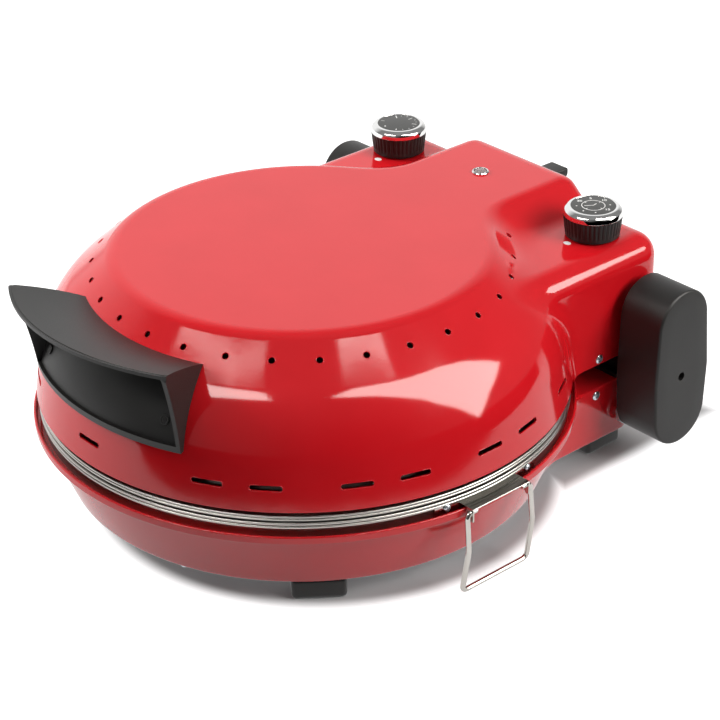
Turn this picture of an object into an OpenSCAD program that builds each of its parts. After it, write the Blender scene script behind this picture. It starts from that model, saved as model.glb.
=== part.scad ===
// Countertop pizza oven: round base, hinged domed lid with a control box behind it,
// baking stone in a lift-out tray, heating elements above and below the stone.
// Millimetres, +Z up, front (handle) towards -Y.

/* [Round base] */
// Radius over the upturned rim of the base
body_r = 181; // [176:0.5:186]
// Height of the rim's top edge above the worktop
rim_z = 62; // [60:0.5:66]
// Height of the upturned rim above the base's top ledge
rim_lip_h = 4.8; // [4:0.1:6]
// How far the bowl's bottom edge stands inside the rim
bowl_foot_inset = 21; // [17:0.5:27]
// How far the bowl's flank stands inside the rim at the top
bowl_inset = 4.5; // [3:0.1:8]
// Clear height under the base
floor_gap = 15; // [12:0.5:18]
// Thickness of the pressed steel sheet of the red housings
sheet = 1.2; // [1:0.1:1.6]
// Thickness of the inner steel reflectors and tray
liner = 0.8; // [0.6:0.1:1.2]

/* [Lid dome] */
// How far the lid's bottom edge stands inside the rim
lid_inset = 3.3; // [2.6:0.1:6]
// Height of the lid's bottom edge above the base's rim
lid_seam = 15.5; // [14:0.1:18]
// Height of the dome, bottom edge to flat top
dome_h = 93; // [86:0.5:98]
// How far the flat top's edge stands inside the lid's bottom edge
plateau_inset = 54.1; // [50:0.1:59]
// Slope of the vent band below horizontal, degrees
band_slope = 41; // [38:0.5:44]
// Lean of the lid's lower flank, degrees from vertical
flank_lean = 8.5; // [6:0.5:11]
// Rounding between flat top and vent band
plateau_round = 14; // [8:1:20]
// Rounding between vent band and flank
shoulder_round = 70; // [50:1:75]

/* [Vents] */
// Distance of the vent holes outside the flat top's edge
vent_reach = 13.4; // [9:0.1:18]
// Vent hole diameter
vent_d = 4.4; // [3:0.1:6]
// Angle between vent holes
vent_pitch = 12; // [10:1:15]
// Length of the flank slots
slot_len = 19; // [14:0.5:22]
// Width of the flank slots
slot_w = 3; // [2:0.1:4]
// Height of the slots above the lid's bottom edge
slot_rise = 15.3; // [13:0.1:18]

/* [Control box] */
// How far the boxes' side faces stand inside the rim's radius
box_inset = 54.5; // [49:0.5:61]
// Distance of the upper box's rear face behind the lid's edge
box_reach = 33.3; // [30:0.1:40]
// Height of the upper box, bottom edge to shoulder
box_h = 78; // [72:0.5:84]
// Rounding of the upper box's top and rear edges
box_round = 17; // [12:1:20]
// Width of the raised tongue at its top
tongue_w = 92; // [80:1:100]
// Extra width of the tongue at its foot, each side
tongue_flare = 18; // [14:1:22]

/* [Hinge] */
// Distance of the hinge axis in front of the upper box's rear face
hinge_inset = 26.4; // [24:0.2:32]
// Diameter of the hinge rod
rod_d = 9; // [8:0.1:9.2]
// Thickness of the hinge arms
arm_t = 2.6; // [2:0.1:3]
// Distance from the box's side to the arm cover
cover_gap = 7; // [6.6:0.1:10]
// Depth of the arm cover along the hinge axis
cover_depth = 35.5; // [28:0.5:40]
// Half width of the arm cover at the hinge axis
cover_half_w = 26; // [24:0.5:28]
// Height of the arm cover above the hinge axis
cover_up = 63.2; // [58:0.2:66]
// Reach of the arm cover below the hinge axis
cover_down = 51.3; // [46:0.2:54]
// Wall of the arm cover
cover_wall = 2.5; // [2:0.1:3.5]

/* [Handle] */
// Half of the angle that the handle wraps round the lid
handle_half_angle = 25; // [20:0.2:28]
// How far the handle's front edge stands out past the lid's bottom edge
handle_out = 19.8; // [15:0.1:26]
// Distance from the flat top's edge to the handle's top plate
handle_root = 18.9; // [15:0.1:22]
// Upward slope of the handle's top plate, degrees
handle_slope = 19; // [15:0.5:24]
// Height of the handle's bottom edge above the lid's edge
handle_foot = 32.5; // [28:0.5:36]
// Radius of the curved front edge
handle_edge_r = 143; // [130:1:160]
// Wall of the handle
handle_wall = 3; // [2.4:0.1:4]

/* [Knobs] */
// Knob diameter
knob_d = 40; // [36:0.5:44]
// Knob height over the shoulder, with its running gap
knob_h = 21.5; // [18:0.5:25]
// Distance of the knob axes inside the box's side faces
knob_side = 31.2; // [28:0.1:36]
// Distance of the knob axes in front of the upper box's rear face
knob_inset = 38.8; // [34:0.1:41]
// Diameter of the control shafts
shaft_d = 6; // [5:0.5:7]
// Number of ribs round a knob
rib_count = 40; // [24:2:60]

/* [Stone and heaters] */
// Width of the tray's flat lip between its wall and the stone
stone_margin = 16.2; // [14:0.1:24]
// Stone thickness
stone_t = 10; // [8:0.5:11]
// Diameter of the heating element's tube
element_d = 6.5; // [5.5:0.5:8]
// How far the outer heating loop stands inside the base's opening
element_margin = 28; // [24:1:44]
// Radius of the inner heating loop
element_inner_r = 62; // [50:1:75]

/* [Bails] */
// Wire diameter of the lifting bails
bail_wire_d = 3.5; // [3:0.1:4]
// Inner width between a bail bracket's ears
bail_ear_gap = 47; // [40:1:56]
// Drop of a bail from pivot to bottom bar
bail_drop = 57.4; // [48:0.2:58]

/* [Feet] */
// Angle of the front feet from the front centre line
front_foot_angle = 52.2; // [40:0.2:60]
// Length of a rear foot
rear_foot_len = 32; // [24:1:40]

/* [Hidden] */
$fn = 64;
ALMOST = 0.01;
fit = 0.05;         // radial clearance of pins and shafts
seat_gap = 0.3;     // gap between loosely seated pieces

ledge_z = rim_z - rim_lip_h;
flank_top_r = body_r - bowl_inset;
bowl_foot_r = body_r - bowl_foot_inset;
tray_wall_r = body_r - 5.8;
lip_out = 1.5;
tray_lip_h = 4.5;
ring_gap = 0.9;

lid_r = body_r - lid_inset;
lid_z = rim_z + lid_seam;
top_z = lid_z + dome_h;
plateau_r = lid_r - plateau_inset;
vent_ring_r = plateau_r + vent_reach;
handle_reach = lid_r + handle_out;
handle_root_r = plateau_r + handle_root;
box_half = body_r - box_inset;
box_rear = lid_r + box_reach;
box_floor_z = lid_z - 2.5;
shoulder_z = box_floor_z + box_h;
ring_r = lid_r - 2.5;

rod_r = rod_d / 2;
hinge_y = box_rear - hinge_inset;
hinge_z = box_floor_z - rod_r - 0.5;
lower_rear = hinge_y - 2.6;
arm_eye_r = rod_r + 4.5;
arm_gap = 0.5;
cover_in = box_half + cover_gap;
cover_out = cover_in + cover_depth;
base_arm_x = box_half + arm_t + arm_gap;
rod_half = cover_in + cover_depth / 2;

rest_w = 23;
rest_len = 34;
rest_top_z = shoulder_z - 3;
rest_h = 14;
rest_flange = 3;

mid_y = (box_rear + rest_len - handle_reach) / 2;

stone_r = tray_wall_r - stone_margin;
shelf_r = stone_r + 0.7;
ledge_hole_r = stone_r - 13;
element_outer_r = ledge_hole_r - element_margin;
shelf_z = ledge_z + 2;
stone_z = shelf_z + liner;
roof_rise = 40;
reflector_roof_z = lid_z + roof_rise;
upper_element_z = reflector_roof_z - 16;
lower_pan_z = ledge_z - 20;
lower_element_z = lower_pan_z + 9;

lamp_y = box_rear - 50;
knob_x = box_half - knob_side;
knob_y = box_rear - knob_inset;
knob_gap = 1;
knob_foot_z = shoulder_z + knob_gap;
knob_top_z = shoulder_z + knob_h;
ring_foot_z = knob_top_z - 6;
dial_r = knob_d / 2 - 5.5;
shaft_r = shaft_d / 2;
control_h = 30;
control_top_z = shoulder_z - sheet - 0.1;

bail_pivot_x = body_r + 2.5;
bail_pivot_z = rim_z - 1.2;
bail_r = bail_wire_d / 2;
ear_t = 1;
ear_y = bail_ear_gap / 2;
bail_half = ear_y + ear_t + bail_r + 1;
tab_t = 1.5;
screw_head_h = 1.5;

RED = [0.78, 0.06, 0.08];
STEEL = [0.78, 0.78, 0.76];
BLACK = [0.16, 0.16, 0.15];

// ---------- shared shapes ----------

// Puts the body axis where the model's origin wants it
module place() translate([0, -mid_y, 0]) children();

module both_sides() {
    children();
    mirror([1, 0, 0]) children();
}

// A corner moved inwards by t, between two edges with inward normals a and b
function inset(p, a, b, t) = p + t * (a + b) / (1 + a * b);

// Points of an arc that rounds the corner p between directions d0 (arriving) and d1 (leaving)
function corner_arc(p, d0, d1, r, steps) =
    let (turn = acos(d0 * d1),
         tangent = r * tan(turn / 2),
         side = sign(d0[0] * d1[1] - d0[1] * d1[0]),
         start = p - tangent * d0,
         centre = start + r * side * [-d0[1], d0[0]])
    [for (i = [0:steps])
        let (a = side * turn * i / steps, v = start - centre)
        centre + [v[0] * cos(a) - v[1] * sin(a), v[0] * sin(a) + v[1] * cos(a)]];

// Directions and inward normals of the dome's three straight stretches, top to bottom
band_dir = [cos(band_slope), -sin(band_slope)];
flank_dir = [sin(flank_lean), -cos(flank_lean)];
band_in = [-sin(band_slope), -cos(band_slope)];
flank_in = [-cos(flank_lean), -sin(flank_lean)];
// The corner between vent band and flank, where the two lines cross
flank_run = ((lid_r - plateau_r) * sin(band_slope) - dome_h * cos(band_slope))
    / (flank_dir * [sin(band_slope), cos(band_slope)]);
shoulder_corner = [lid_r, lid_z] - flank_run * flank_dir;

// Outline of the dome inset by t and carried down to z = foot
function dome_outline(t, foot) =
    let (top = inset([plateau_r, top_z], [0, -1], band_in, t),
         mid = inset(shoulder_corner, band_in, flank_in, t),
         low = mid + flank_dir * (mid[1] - foot) / cos(flank_lean))
    concat([[0, foot], [0, top_z - t]],
        corner_arc(top, [1, 0], band_dir, plateau_round - t, 5),
        corner_arc(mid, band_dir, flank_dir, shoulder_round - t, 8),
        [low]);

// Radius of the dome's outer surface at height z on the lower flank
function flank_r_at(z) = lid_r - (z - lid_z) * tan(flank_lean);
// Height of the dome's outer surface at radius r on the vent band
function band_z_at(r) = top_z - (r - plateau_r) * tan(band_slope);

module dome(t, foot) {
    rotate_extrude($fn = 180) polygon(dome_outline(t, foot));
}

// The box behind the dome, with rounded top and rear edges
module box_block(half, rear, floor_z, roof_z, r) {
    hull() {
        for (s = [-1, 1]) {
            translate([s * (half - r), rear - r, roof_z - r]) sphere(r, $fn = 32);
            translate([s * (half - r), 0, roof_z - r]) rotate([-90, 0, 0])
                cylinder(r = r, h = 1, $fn = 32);
            translate([s * (half - r), rear - r, floor_z]) cylinder(r = r, h = 1, $fn = 32);
        }
        translate([-half, 0, floor_z]) cube([2 * half, 1, 1]);
    }
}

// The tongue that carries the dome's flat top back over the box
module tongue_block(t) {
    r = box_round - t;
    top_half = tongue_w / 2 - t;
    foot_half = top_half + tongue_flare;
    low_z = shoulder_z - box_round;
    corner = 8;
    hull() {
        for (s = [-1, 1]) {
            translate([s * (top_half - corner), box_rear - t - r, top_z - t - r])
                scale([corner / r, 1, 1]) sphere(r, $fn = 32);
            translate([s * (top_half - corner), 0, top_z - t - 1]) cube([ALMOST, 1, 1]);
            translate([s * (foot_half - r), box_rear - t - r, low_z]) cylinder(r = r, h = 1, $fn = 32);
            translate([s * foot_half - (s > 0 ? 1 : 0), 0, low_z]) cube([1, 1, 1]);
            translate([s * top_half - (s > 0 ? 1 : 0), 0, top_z - t - 4]) cube([1, 1, 1]);
        }
    }
}

// Two circles in the plane and the belt round them, as true arcs
module belt2d(a, ra, b, rb) {
    d = norm(b - a);
    u = (b - a) / d;
    n = [-u[1], u[0]];
    s = (ra - rb) / d;
    c = sqrt(1 - s * s);
    translate(a) circle(ra);
    translate(b) circle(rb);
    polygon([a + ra * (s * u + c * n), b + rb * (s * u + c * n),
             b + rb * (s * u - c * n), a + ra * (s * u - c * n)]);
}

// Stands a YZ outline up and extrudes it along X from x = 0
module along_x(h) rotate([90, 0, 90]) linear_extrude(h) children();

module pan_screw(head_r, shank_r, shank) {
    cylinder(r = head_r, h = screw_head_h, $fn = 32);
    translate([0, 0, -shank]) cylinder(r = shank_r, h = shank + ALMOST, $fn = 32);
}

// ---------- base ----------

module base_outline() {
    polygon([[bowl_foot_r - 8, floor_gap], [bowl_foot_r, floor_gap], [flank_top_r, ledge_z - sheet],
             [body_r, ledge_z - sheet], [body_r, rim_z], [body_r - sheet, rim_z],
             [body_r - sheet, ledge_z], [ledge_hole_r, ledge_z], [ledge_hole_r, ledge_z - sheet],
             [flank_top_r - 2 * sheet, ledge_z - sheet], [bowl_foot_r - sheet, floor_gap + sheet],
             [bowl_foot_r - 8, floor_gap + sheet]]);
}

module base_bowl_core(foot) {
    rotate_extrude($fn = 180)
        polygon([[0, foot], [bowl_foot_r - sheet, foot], [bowl_foot_r - sheet, floor_gap + sheet],
                 [flank_top_r - 2 * sheet, ledge_z - sheet], [0, ledge_z - sheet]]);
}

lower_round = 6;
module lower_box(t, floor_z, roof_z) {
    half = box_half - t;
    rear = lower_rear - t;
    r = lower_round - t;
    translate([-half, 0, floor_z]) cube([2 * half, rear - r, roof_z - floor_z]);
    translate([-half + r, 0, floor_z]) cube([2 * (half - r), rear, roof_z - floor_z]);
    for (s = [-1, 1])
        translate([s * (half - r), rear - r, floor_z]) cylinder(r = r, h = roof_z - floor_z);
}

module base_housing() color(RED) place() {
    difference() {
        union() {
            rotate_extrude($fn = 180) base_outline();
            difference() {
                lower_box(0, floor_gap, ledge_z);
                lower_box(sheet, floor_gap - 1, ledge_z - sheet);
                base_bowl_core(floor_gap - 1);
                translate([0, 0, ledge_z - sheet - 1]) cylinder(r = ledge_hole_r, h = 4, $fn = 180);
            }
        }
        // the bowl is open into the box behind it
        intersection() {
            lower_box(sheet, floor_gap - 1, ledge_z - sheet);
            translate([-box_half, bowl_foot_r / 2, floor_gap - 1]) cube([2 * box_half, box_rear, ledge_z]);
        }
        for (s = [-1, 1])
            for (y = base_screw_ys)
                translate([s * box_half, y, base_screw_z]) rotate([0, 90, 0])
                    cylinder(r = 1.8, h = 8, center = true);
        translate([gland_x, lower_rear, gland_z]) rotate([90, 0, 0])
            cylinder(r = gland_r, h = 6, center = true);
        for (p = bottom_screw_points())
            translate(p) cylinder(r = 1.8, h = rim_z / 2);
    }
}
base_screw_z = ledge_z - 5.4;
base_screw_ys = [hinge_y - 36.6];
gland_x = 60;
gland_z = floor_gap + 10.5;
gland_r = 6;
gland_bore_r = 3.75;

floor_slot_len = 60;
floor_slot_w = 4;
floor_slot_pitch = 14;
module base_bottom_plate() color(STEEL) place() {
    difference() {
        union() {
            translate([0, 0, floor_gap + sheet]) cylinder(r = bowl_foot_r - 2 * sheet, h = sheet, $fn = 180);
            intersection() {
                lower_box(sheet + seat_gap, floor_gap + sheet, floor_gap + 2 * sheet);
                translate([-box_half, bowl_foot_r / 2, 0]) cube([2 * box_half, box_rear, ledge_z]);
            }
        }
        for (i = [-4:4])
            translate([i * floor_slot_pitch - floor_slot_w / 2, -floor_slot_len / 3, 0])
                cube([floor_slot_w, floor_slot_len, ledge_z]);
        for (p = bottom_screw_points())
            translate(p) cylinder(r = 1.8, h = ledge_z);
    }
}

function bottom_screw_points() = concat(
    [for (a = [-20, 20, 90, -90]) (bowl_foot_r - 5) * [sin(a), -cos(a), 0]],
    [for (s = [-1, 1]) [s * (box_half - 40), lower_rear - 10, 0]]);

module bottom_plate_screws() color(STEEL) place() {
    for (p = bottom_screw_points())
        translate([p[0], p[1], floor_gap + (norm([p[0], p[1]]) > bowl_foot_r ? sheet : 0)])
            mirror([0, 0, 1]) pan_screw(3.2, 1.7, 5);
}

module foot_block(size) {
    r = 4;
    translate([-size[0] / 2, -size[1] / 2, r]) cube([size[0], size[1], size[2] - r]);
    translate([-size[0] / 2 + r, -size[1] / 2, 0]) cube([size[0] - 2 * r, size[1], r + ALMOST]);
    for (s = [-1, 1])
        translate([s * (size[0] / 2 - r), 0, r]) rotate([90, 0, 0])
            cylinder(r = r, h = size[1], center = true);
}

front_foot_size = [29, 17, floor_gap];
module front_foot() rotate([0, 0, front_foot_angle])
    translate([0, -(bowl_foot_r - 3 - front_foot_size[1] / 2), 0]) foot_block(front_foot_size);

module front_foot_right() color(BLACK) place() front_foot();
module front_foot_left() color(BLACK) place() mirror([1, 0, 0]) front_foot();

rear_foot_x = box_half - 6.5;
rear_foot_w = 20;
module rear_foot() {
    translate([rear_foot_x - rear_foot_w / 2, lower_rear - rear_foot_len / 2, 0]) rotate([0, 0, 90])
        foot_block([rear_foot_len, rear_foot_w, floor_gap]);
    // neck through the open bottom of the box, up to the bottom plate
    translate([rear_foot_x - rear_foot_w, lower_rear - rear_foot_len, floor_gap - ALMOST])
        cube([rear_foot_w, rear_foot_len - sheet - seat_gap, sheet + ALMOST]);
}
module rear_foot_right() color(BLACK) place() rear_foot();
module rear_foot_left() color(BLACK) place() mirror([1, 0, 0]) rear_foot();

pan_flange_r = ledge_hole_r + 8;
module lower_reflector() color(STEEL) place() {
    wall_r = ledge_hole_r - 1;
    difference() {
        rotate_extrude($fn = 120)
            polygon([[0, lower_pan_z], [wall_r - 12, lower_pan_z], [wall_r, lower_pan_z + 10],
                     [wall_r, ledge_z], [pan_flange_r, ledge_z], [pan_flange_r, ledge_z + liner],
                     [wall_r - liner, ledge_z + liner], [wall_r - liner, lower_pan_z + 10.3],
                     [wall_r - 12.3, lower_pan_z + liner], [0, lower_pan_z + liner]]);
        element_leg_holes();
    }
}

// Two open loops of heater tube joined by a radial link, with a leg at each free end
module element(z, leg, leg_way) {
    r = element_d / 2;
    rings = [element_outer_r, element_inner_r];
    translate([0, 0, z]) {
        for (ring = rings)
            rotate([0, 0, 90 + element_open]) rotate_extrude(angle = 360 - 2 * element_open, $fn = 96)
                translate([ring, 0]) circle(r, $fn = 24);
        rotate([0, 0, 90 + element_open]) translate([element_inner_r, 0, 0]) rotate([0, 90, 0])
            cylinder(r = r * 0.98, h = element_outer_r - element_inner_r, $fn = 24);
        for (ring = rings)
            rotate([0, 0, 90 - element_open]) translate([ring, 0, 0]) rotate([leg_way < 0 ? 180 : 0, 0, 0]) {
                sphere(r * 1.03, $fn = 24);
                cylinder(r = r * 0.9, h = leg, $fn = 24);
            }
    }
}
element_open = 14;
module element_leg_holes()
    for (ring = [element_outer_r, element_inner_r])
        rotate([0, 0, 90 - element_open]) translate([ring, 0, 0])
            cylinder(r = element_d / 2 + 1, h = top_z);

lower_leg = 15;
module lower_element() color([0.35, 0.34, 0.33]) place() element(lower_element_z, lower_leg, -1);

module lower_element_clips() color(STEEL) place() {
    for (a = [30, 150, 270]) for (ring = [element_outer_r, element_inner_r])
        rotate([0, 0, a]) translate([ring - 4, -3, lower_pan_z + liner])
            cube([8, 6, lower_element_z - element_d / 2 - lower_pan_z - liner]);
}

module lower_terminal_block() color([0.9, 0.88, 0.82]) place()
    translate([-22, lower_rear - 34, floor_gap + 2 * sheet]) difference() {
        cube([44, 20, 16]);
        for (i = [0:3]) translate([5.5 + i * 11, 10, 6]) cylinder(r = 2.5, h = 20, $fn = 24);
    }

module cord_gland() color(BLACK) place()
    translate([gland_x, lower_rear, gland_z]) rotate([-90, 0, 0]) difference() {
        union() {
            translate([0, 0, -4]) cylinder(r = gland_r - fit, h = 8);
            cylinder(r = gland_r + 2.5, h = 2.5);
            translate([0, 0, -4]) cylinder(r = gland_r + 1.5, h = 4 - sheet);
            translate([0, 0, 2.5]) cylinder(r = gland_r - 0.5, h = 5);
        }
        translate([0, 0, -5]) cylinder(r = gland_bore_r, h = 14);
    }

// Black strips on the lower box, closing the gap between the boxes in front of the hinge rod
guard_depth = 10;
guard_wall = 3;
guard_top_z = box_floor_z - 3;
module hinge_guards() color(BLACK) place() both_sides() {
    front = hinge_y - rod_r - 2 - guard_depth;
    inner = sqrt(body_r * body_r - front * front) + 2;
    back = front + guard_depth;
    translate([inner, 0, 0]) along_x(box_half - 0.5 - inner)
        polygon([[front, ledge_z], [back, ledge_z], [back, guard_top_z], [back - guard_wall, guard_top_z],
                 [back - guard_wall, ledge_z + guard_wall], [front, ledge_z + guard_wall]]);
}

// ---------- stone tray ----------

tray_lip_z = rim_z + 4.8;
tray_top_z = tray_lip_z + tray_lip_h;
module stone_tray() color(STEEL) place() {
    lip_r = tray_wall_r + lip_out;
    difference() {
        rotate_extrude($fn = 180)
            polygon([[tray_wall_r - liner, ledge_z], [tray_wall_r, ledge_z], [tray_wall_r, tray_lip_z],
                     [lip_r, tray_lip_z], [lip_r, tray_top_z], [shelf_r, tray_top_z],
                     [shelf_r, stone_z], [shelf_r - 10, stone_z], [shelf_r - 10, shelf_z],
                     [shelf_r + liner, shelf_z], [shelf_r + liner, tray_top_z - liner],
                     [lip_r - liner, tray_top_z - liner], [lip_r - liner, tray_lip_z + liner],
                     [tray_wall_r - liner, tray_lip_z + liner]]);
        for (s = [-1, 1]) for (m = [0, 1]) mirror([m, 0, 0])
            rotate([0, 0, s * tab_angle]) translate([tray_wall_r, 0, tab_screw_z]) rotate([0, 90, 0])
                cylinder(r = 1.55, h = 8, center = true);
    }
}

module baking_stone() color([0.85, 0.78, 0.66]) place()
    translate([0, 0, stone_z]) {
        cylinder(r = stone_r, h = stone_t - 1, $fn = 180);
        translate([0, 0, stone_t - 1]) cylinder(r1 = stone_r, r2 = stone_r - 1, h = 1, $fn = 180);
    }

// ---------- bails ----------

tab_angle = 11.3;
strip_half_w = 43;
tab_screw_z = rim_z + 1.9;
strip_top_z = tray_lip_z - 0.2;
bracket_top_z = rim_z + 1.9;
bracket_front = bail_pivot_x + 2.6;
module bail_bracket() {
    plate_in = tray_wall_r * cos(8);
    difference() {
        union() {
            // top plate over the rim
            difference() {
                translate([plate_in, -ear_y - ear_t, bracket_top_z - ear_t])
                    cube([bracket_front - plate_in, 2 * (ear_y + ear_t), ear_t]);
                translate([0, 0, bracket_top_z - 3]) cylinder(r = tray_wall_r, h = 6, $fn = 180);
            }
            // ears, folded down at both ends of the plate
            for (s = [-1, 1]) translate([0, s > 0 ? ear_y : -ear_y - ear_t, 0])
                rotate([90, 0, 0]) translate([0, 0, -ear_t]) linear_extrude(ear_t)
                    polygon([[body_r - 1, bracket_top_z], [bracket_front, bracket_top_z],
                             [bracket_front, bracket_top_z - 9.6], [bail_pivot_x + 0.2, bracket_top_z - 9.6],
                             [body_r - 1, bail_pivot_z - 1.5]]);
            // strip screwed to the tray's wall
            intersection() {
                translate([0, 0, ledge_z + 0.6]) difference() {
                    cylinder(r = tray_wall_r + tab_t, h = strip_top_z - ledge_z - 0.6, $fn = 180);
                    translate([0, 0, -1]) cylinder(r = tray_wall_r, h = 20, $fn = 180);
                }
                translate([tray_wall_r - 10, -strip_half_w, 0]) cube([20, 2 * strip_half_w, top_z]);
            }
        }
        translate([bail_pivot_x, 0, bail_pivot_z]) rotate([90, 0, 0])
            cylinder(r = bail_r + fit, h = 4 * ear_y, center = true, $fn = 32);
        for (s = [-1, 1]) rotate([0, 0, s * tab_angle])
            translate([tray_wall_r, 0, tab_screw_z]) rotate([0, 90, 0])
                cylinder(r = 1.55, h = 8, center = true);
    }
}
module bail_bracket_right() color(STEEL) place() bail_bracket();
module bail_bracket_left() color(STEEL) place() mirror([1, 0, 0]) bail_bracket();

module bail_bracket_screws() color(STEEL) place() both_sides()
    for (s = [-1, 1]) rotate([0, 0, s * tab_angle])
        translate([tray_wall_r + tab_t, 0, tab_screw_z]) rotate([0, 90, 0]) pan_screw(2.6, 1.5, 5);

// Wire from a to b with round ends
module wire(a, b) {
    v = b - a;
    translate(a) sphere(bail_r * 1.05, $fn = 24);
    translate(a) rotate([0, acos(v[2] / norm(v)), atan2(v[1], v[0])])
        cylinder(r = bail_r, h = norm(v), $fn = 24);
}

bail_knee = [5, -25.8];
bail_bar_in = -2.5;
module bail() {
    for (s = [-1, 1]) {
        pts = [[0, s * (ear_y - 4), 0], [0, s * bail_half, 0],
               [bail_knee[0], s * (bail_half + 1), bail_knee[1]],
               [bail_bar_in, s * (bail_half - 1), -bail_drop], [bail_bar_in, 0, -bail_drop]];
        for (i = [0:3])
            translate([bail_pivot_x, 0, bail_pivot_z]) wire(pts[i], pts[i + 1]);
    }
}
module bail_right() color(STEEL) place() bail();
module bail_left() color(STEEL) place() mirror([1, 0, 0]) bail();

// ---------- hinge ----------

module hinge_rod() color(STEEL) place()
    translate([0, hinge_y, hinge_z]) rotate([0, 90, 0]) difference() {
        cylinder(r = rod_r, h = 2 * rod_half, center = true);
        for (s = [-1, 1]) translate([0, 0, s * rod_half])
            cylinder(r = 2 + fit, h = 18, center = true, $fn = 24);
    }

base_arm_foot = [lower_rear - 8, floor_gap + 16];
base_pad_points = [[lower_rear - 7, floor_gap + 32], base_arm_foot];
module base_hinge_arm() {
    difference() {
        union() {
            translate([base_arm_x, 0, 0]) along_x(arm_t)
                belt2d([hinge_y, hinge_z], arm_eye_r, base_arm_foot, 8);
            for (p = base_pad_points)
                translate([box_half, p[0], p[1]]) rotate([0, 90, 0])
                    cylinder(r = 5, h = base_arm_x - box_half + ALMOST);
        }
        translate([0, hinge_y, hinge_z]) rotate([0, 90, 0]) cylinder(r = rod_r + fit, h = cover_out);
    }
}
module base_hinge_arm_right() color(STEEL) place() base_hinge_arm();
module base_hinge_arm_left() color(STEEL) place() mirror([1, 0, 0]) base_hinge_arm();

lid_arm_rise = 42;
lid_arm_head_r = 11;
module lid_hinge_arm() {
    bar_w = 2 * arm_eye_r - 3;
    difference() {
        union() {
            translate([box_half, hinge_y, hinge_z]) rotate([0, 90, 0]) cylinder(r = arm_eye_r, h = arm_t);
            translate([box_half, hinge_y - bar_w / 2, hinge_z]) cube([arm_t, bar_w, lid_arm_rise]);
            translate([box_half, hinge_y, hinge_z + lid_arm_rise]) rotate([0, 90, 0])
                cylinder(r = lid_arm_head_r, h = arm_t);
        }
        translate([0, hinge_y, hinge_z]) rotate([0, 90, 0]) cylinder(r = rod_r + fit, h = cover_out);
    }
}
module lid_hinge_arm_right() color(STEEL) place() lid_hinge_arm();
module lid_hinge_arm_left() color(STEEL) place() mirror([1, 0, 0]) lid_hinge_arm();

module base_side_screws() color(STEEL) place() both_sides()
    for (y = base_screw_ys)
        translate([box_half, y, base_screw_z]) rotate([0, 90, 0]) pan_screw(3.2, 1.7, 5);

cover_top_r = 23.5;
cover_low_r = 24.6;
cover_mid_y = hinge_y + 1;
module cover_outline(t) {
    top_c = [cover_mid_y - 1, hinge_z + cover_up - cover_top_r];
    low_c = [cover_mid_y, hinge_z - cover_down + cover_low_r];
    mid_c = [cover_mid_y, hinge_z];
    belt2d(top_c, cover_top_r - t, mid_c, cover_half_w - t);
    belt2d(mid_c, cover_half_w - t, low_c, cover_low_r - t);
}
cover_post_z = hinge_z - 32;
module arm_cover() {
    rim_in = base_arm_x + arm_t;
    difference() {
        union() {
            difference() {
                translate([cover_in, 0, 0]) along_x(cover_depth) cover_outline(0);
                translate([cover_in - 1, 0, 0]) along_x(cover_depth - cover_wall + 1)
                    cover_outline(cover_wall);
            }
            // post round the hinge rod's end, and a lower post on the fixed arm
            translate([rim_in, hinge_y, hinge_z]) rotate([0, 90, 0])
                cylinder(r = rod_r + 4, h = cover_out - rim_in - ALMOST);
            translate([rim_in, lower_rear - 7, cover_post_z]) rotate([0, 90, 0])
                cylinder(r = 4.5, h = cover_out - rim_in - ALMOST);
        }
        translate([rim_in - 1, hinge_y, hinge_z]) rotate([0, 90, 0])
            cylinder(r = rod_r + fit, h = rod_half + fit + 1 - rim_in);
        translate([0, hinge_y, hinge_z]) rotate([0, 90, 0]) cylinder(r = 2.2, h = cover_out);
        translate([cover_screw_x, hinge_y, hinge_z]) rotate([0, 90, 0]) cylinder(r = 3, h = cover_depth);
    }
}
cover_screw_x = rod_half + 3;
module arm_cover_right() color(BLACK) place() arm_cover();
module arm_cover_left() color(BLACK) place() mirror([1, 0, 0]) arm_cover();

module arm_cover_screws() color(STEEL) place() both_sides()
    translate([cover_screw_x, hinge_y, hinge_z]) rotate([0, 90, 0]) pan_screw(2.8, 2, 10);

// ---------- lid ----------

function vent_angles() = [for (i = [0:12]) (i + 0.5) * vent_pitch];
slot_angles = [0, 30, 42, 60, 72, 90, 102, 120];

module flank_slot(a) {
    z = lid_z + slot_rise;
    half = (slot_len - slot_w) / 2;
    rotate([0, 0, a]) translate([0, -lid_r, z]) {
        translate([-half, -6, -slot_w / 2]) cube([2 * half, 16, slot_w]);
        for (s = [-1, 1]) translate([s * half, 0, 0]) rotate([90, 0, 0])
            cylinder(r = slot_w / 2, h = 16, center = true, $fn = 24);
    }
}

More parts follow.
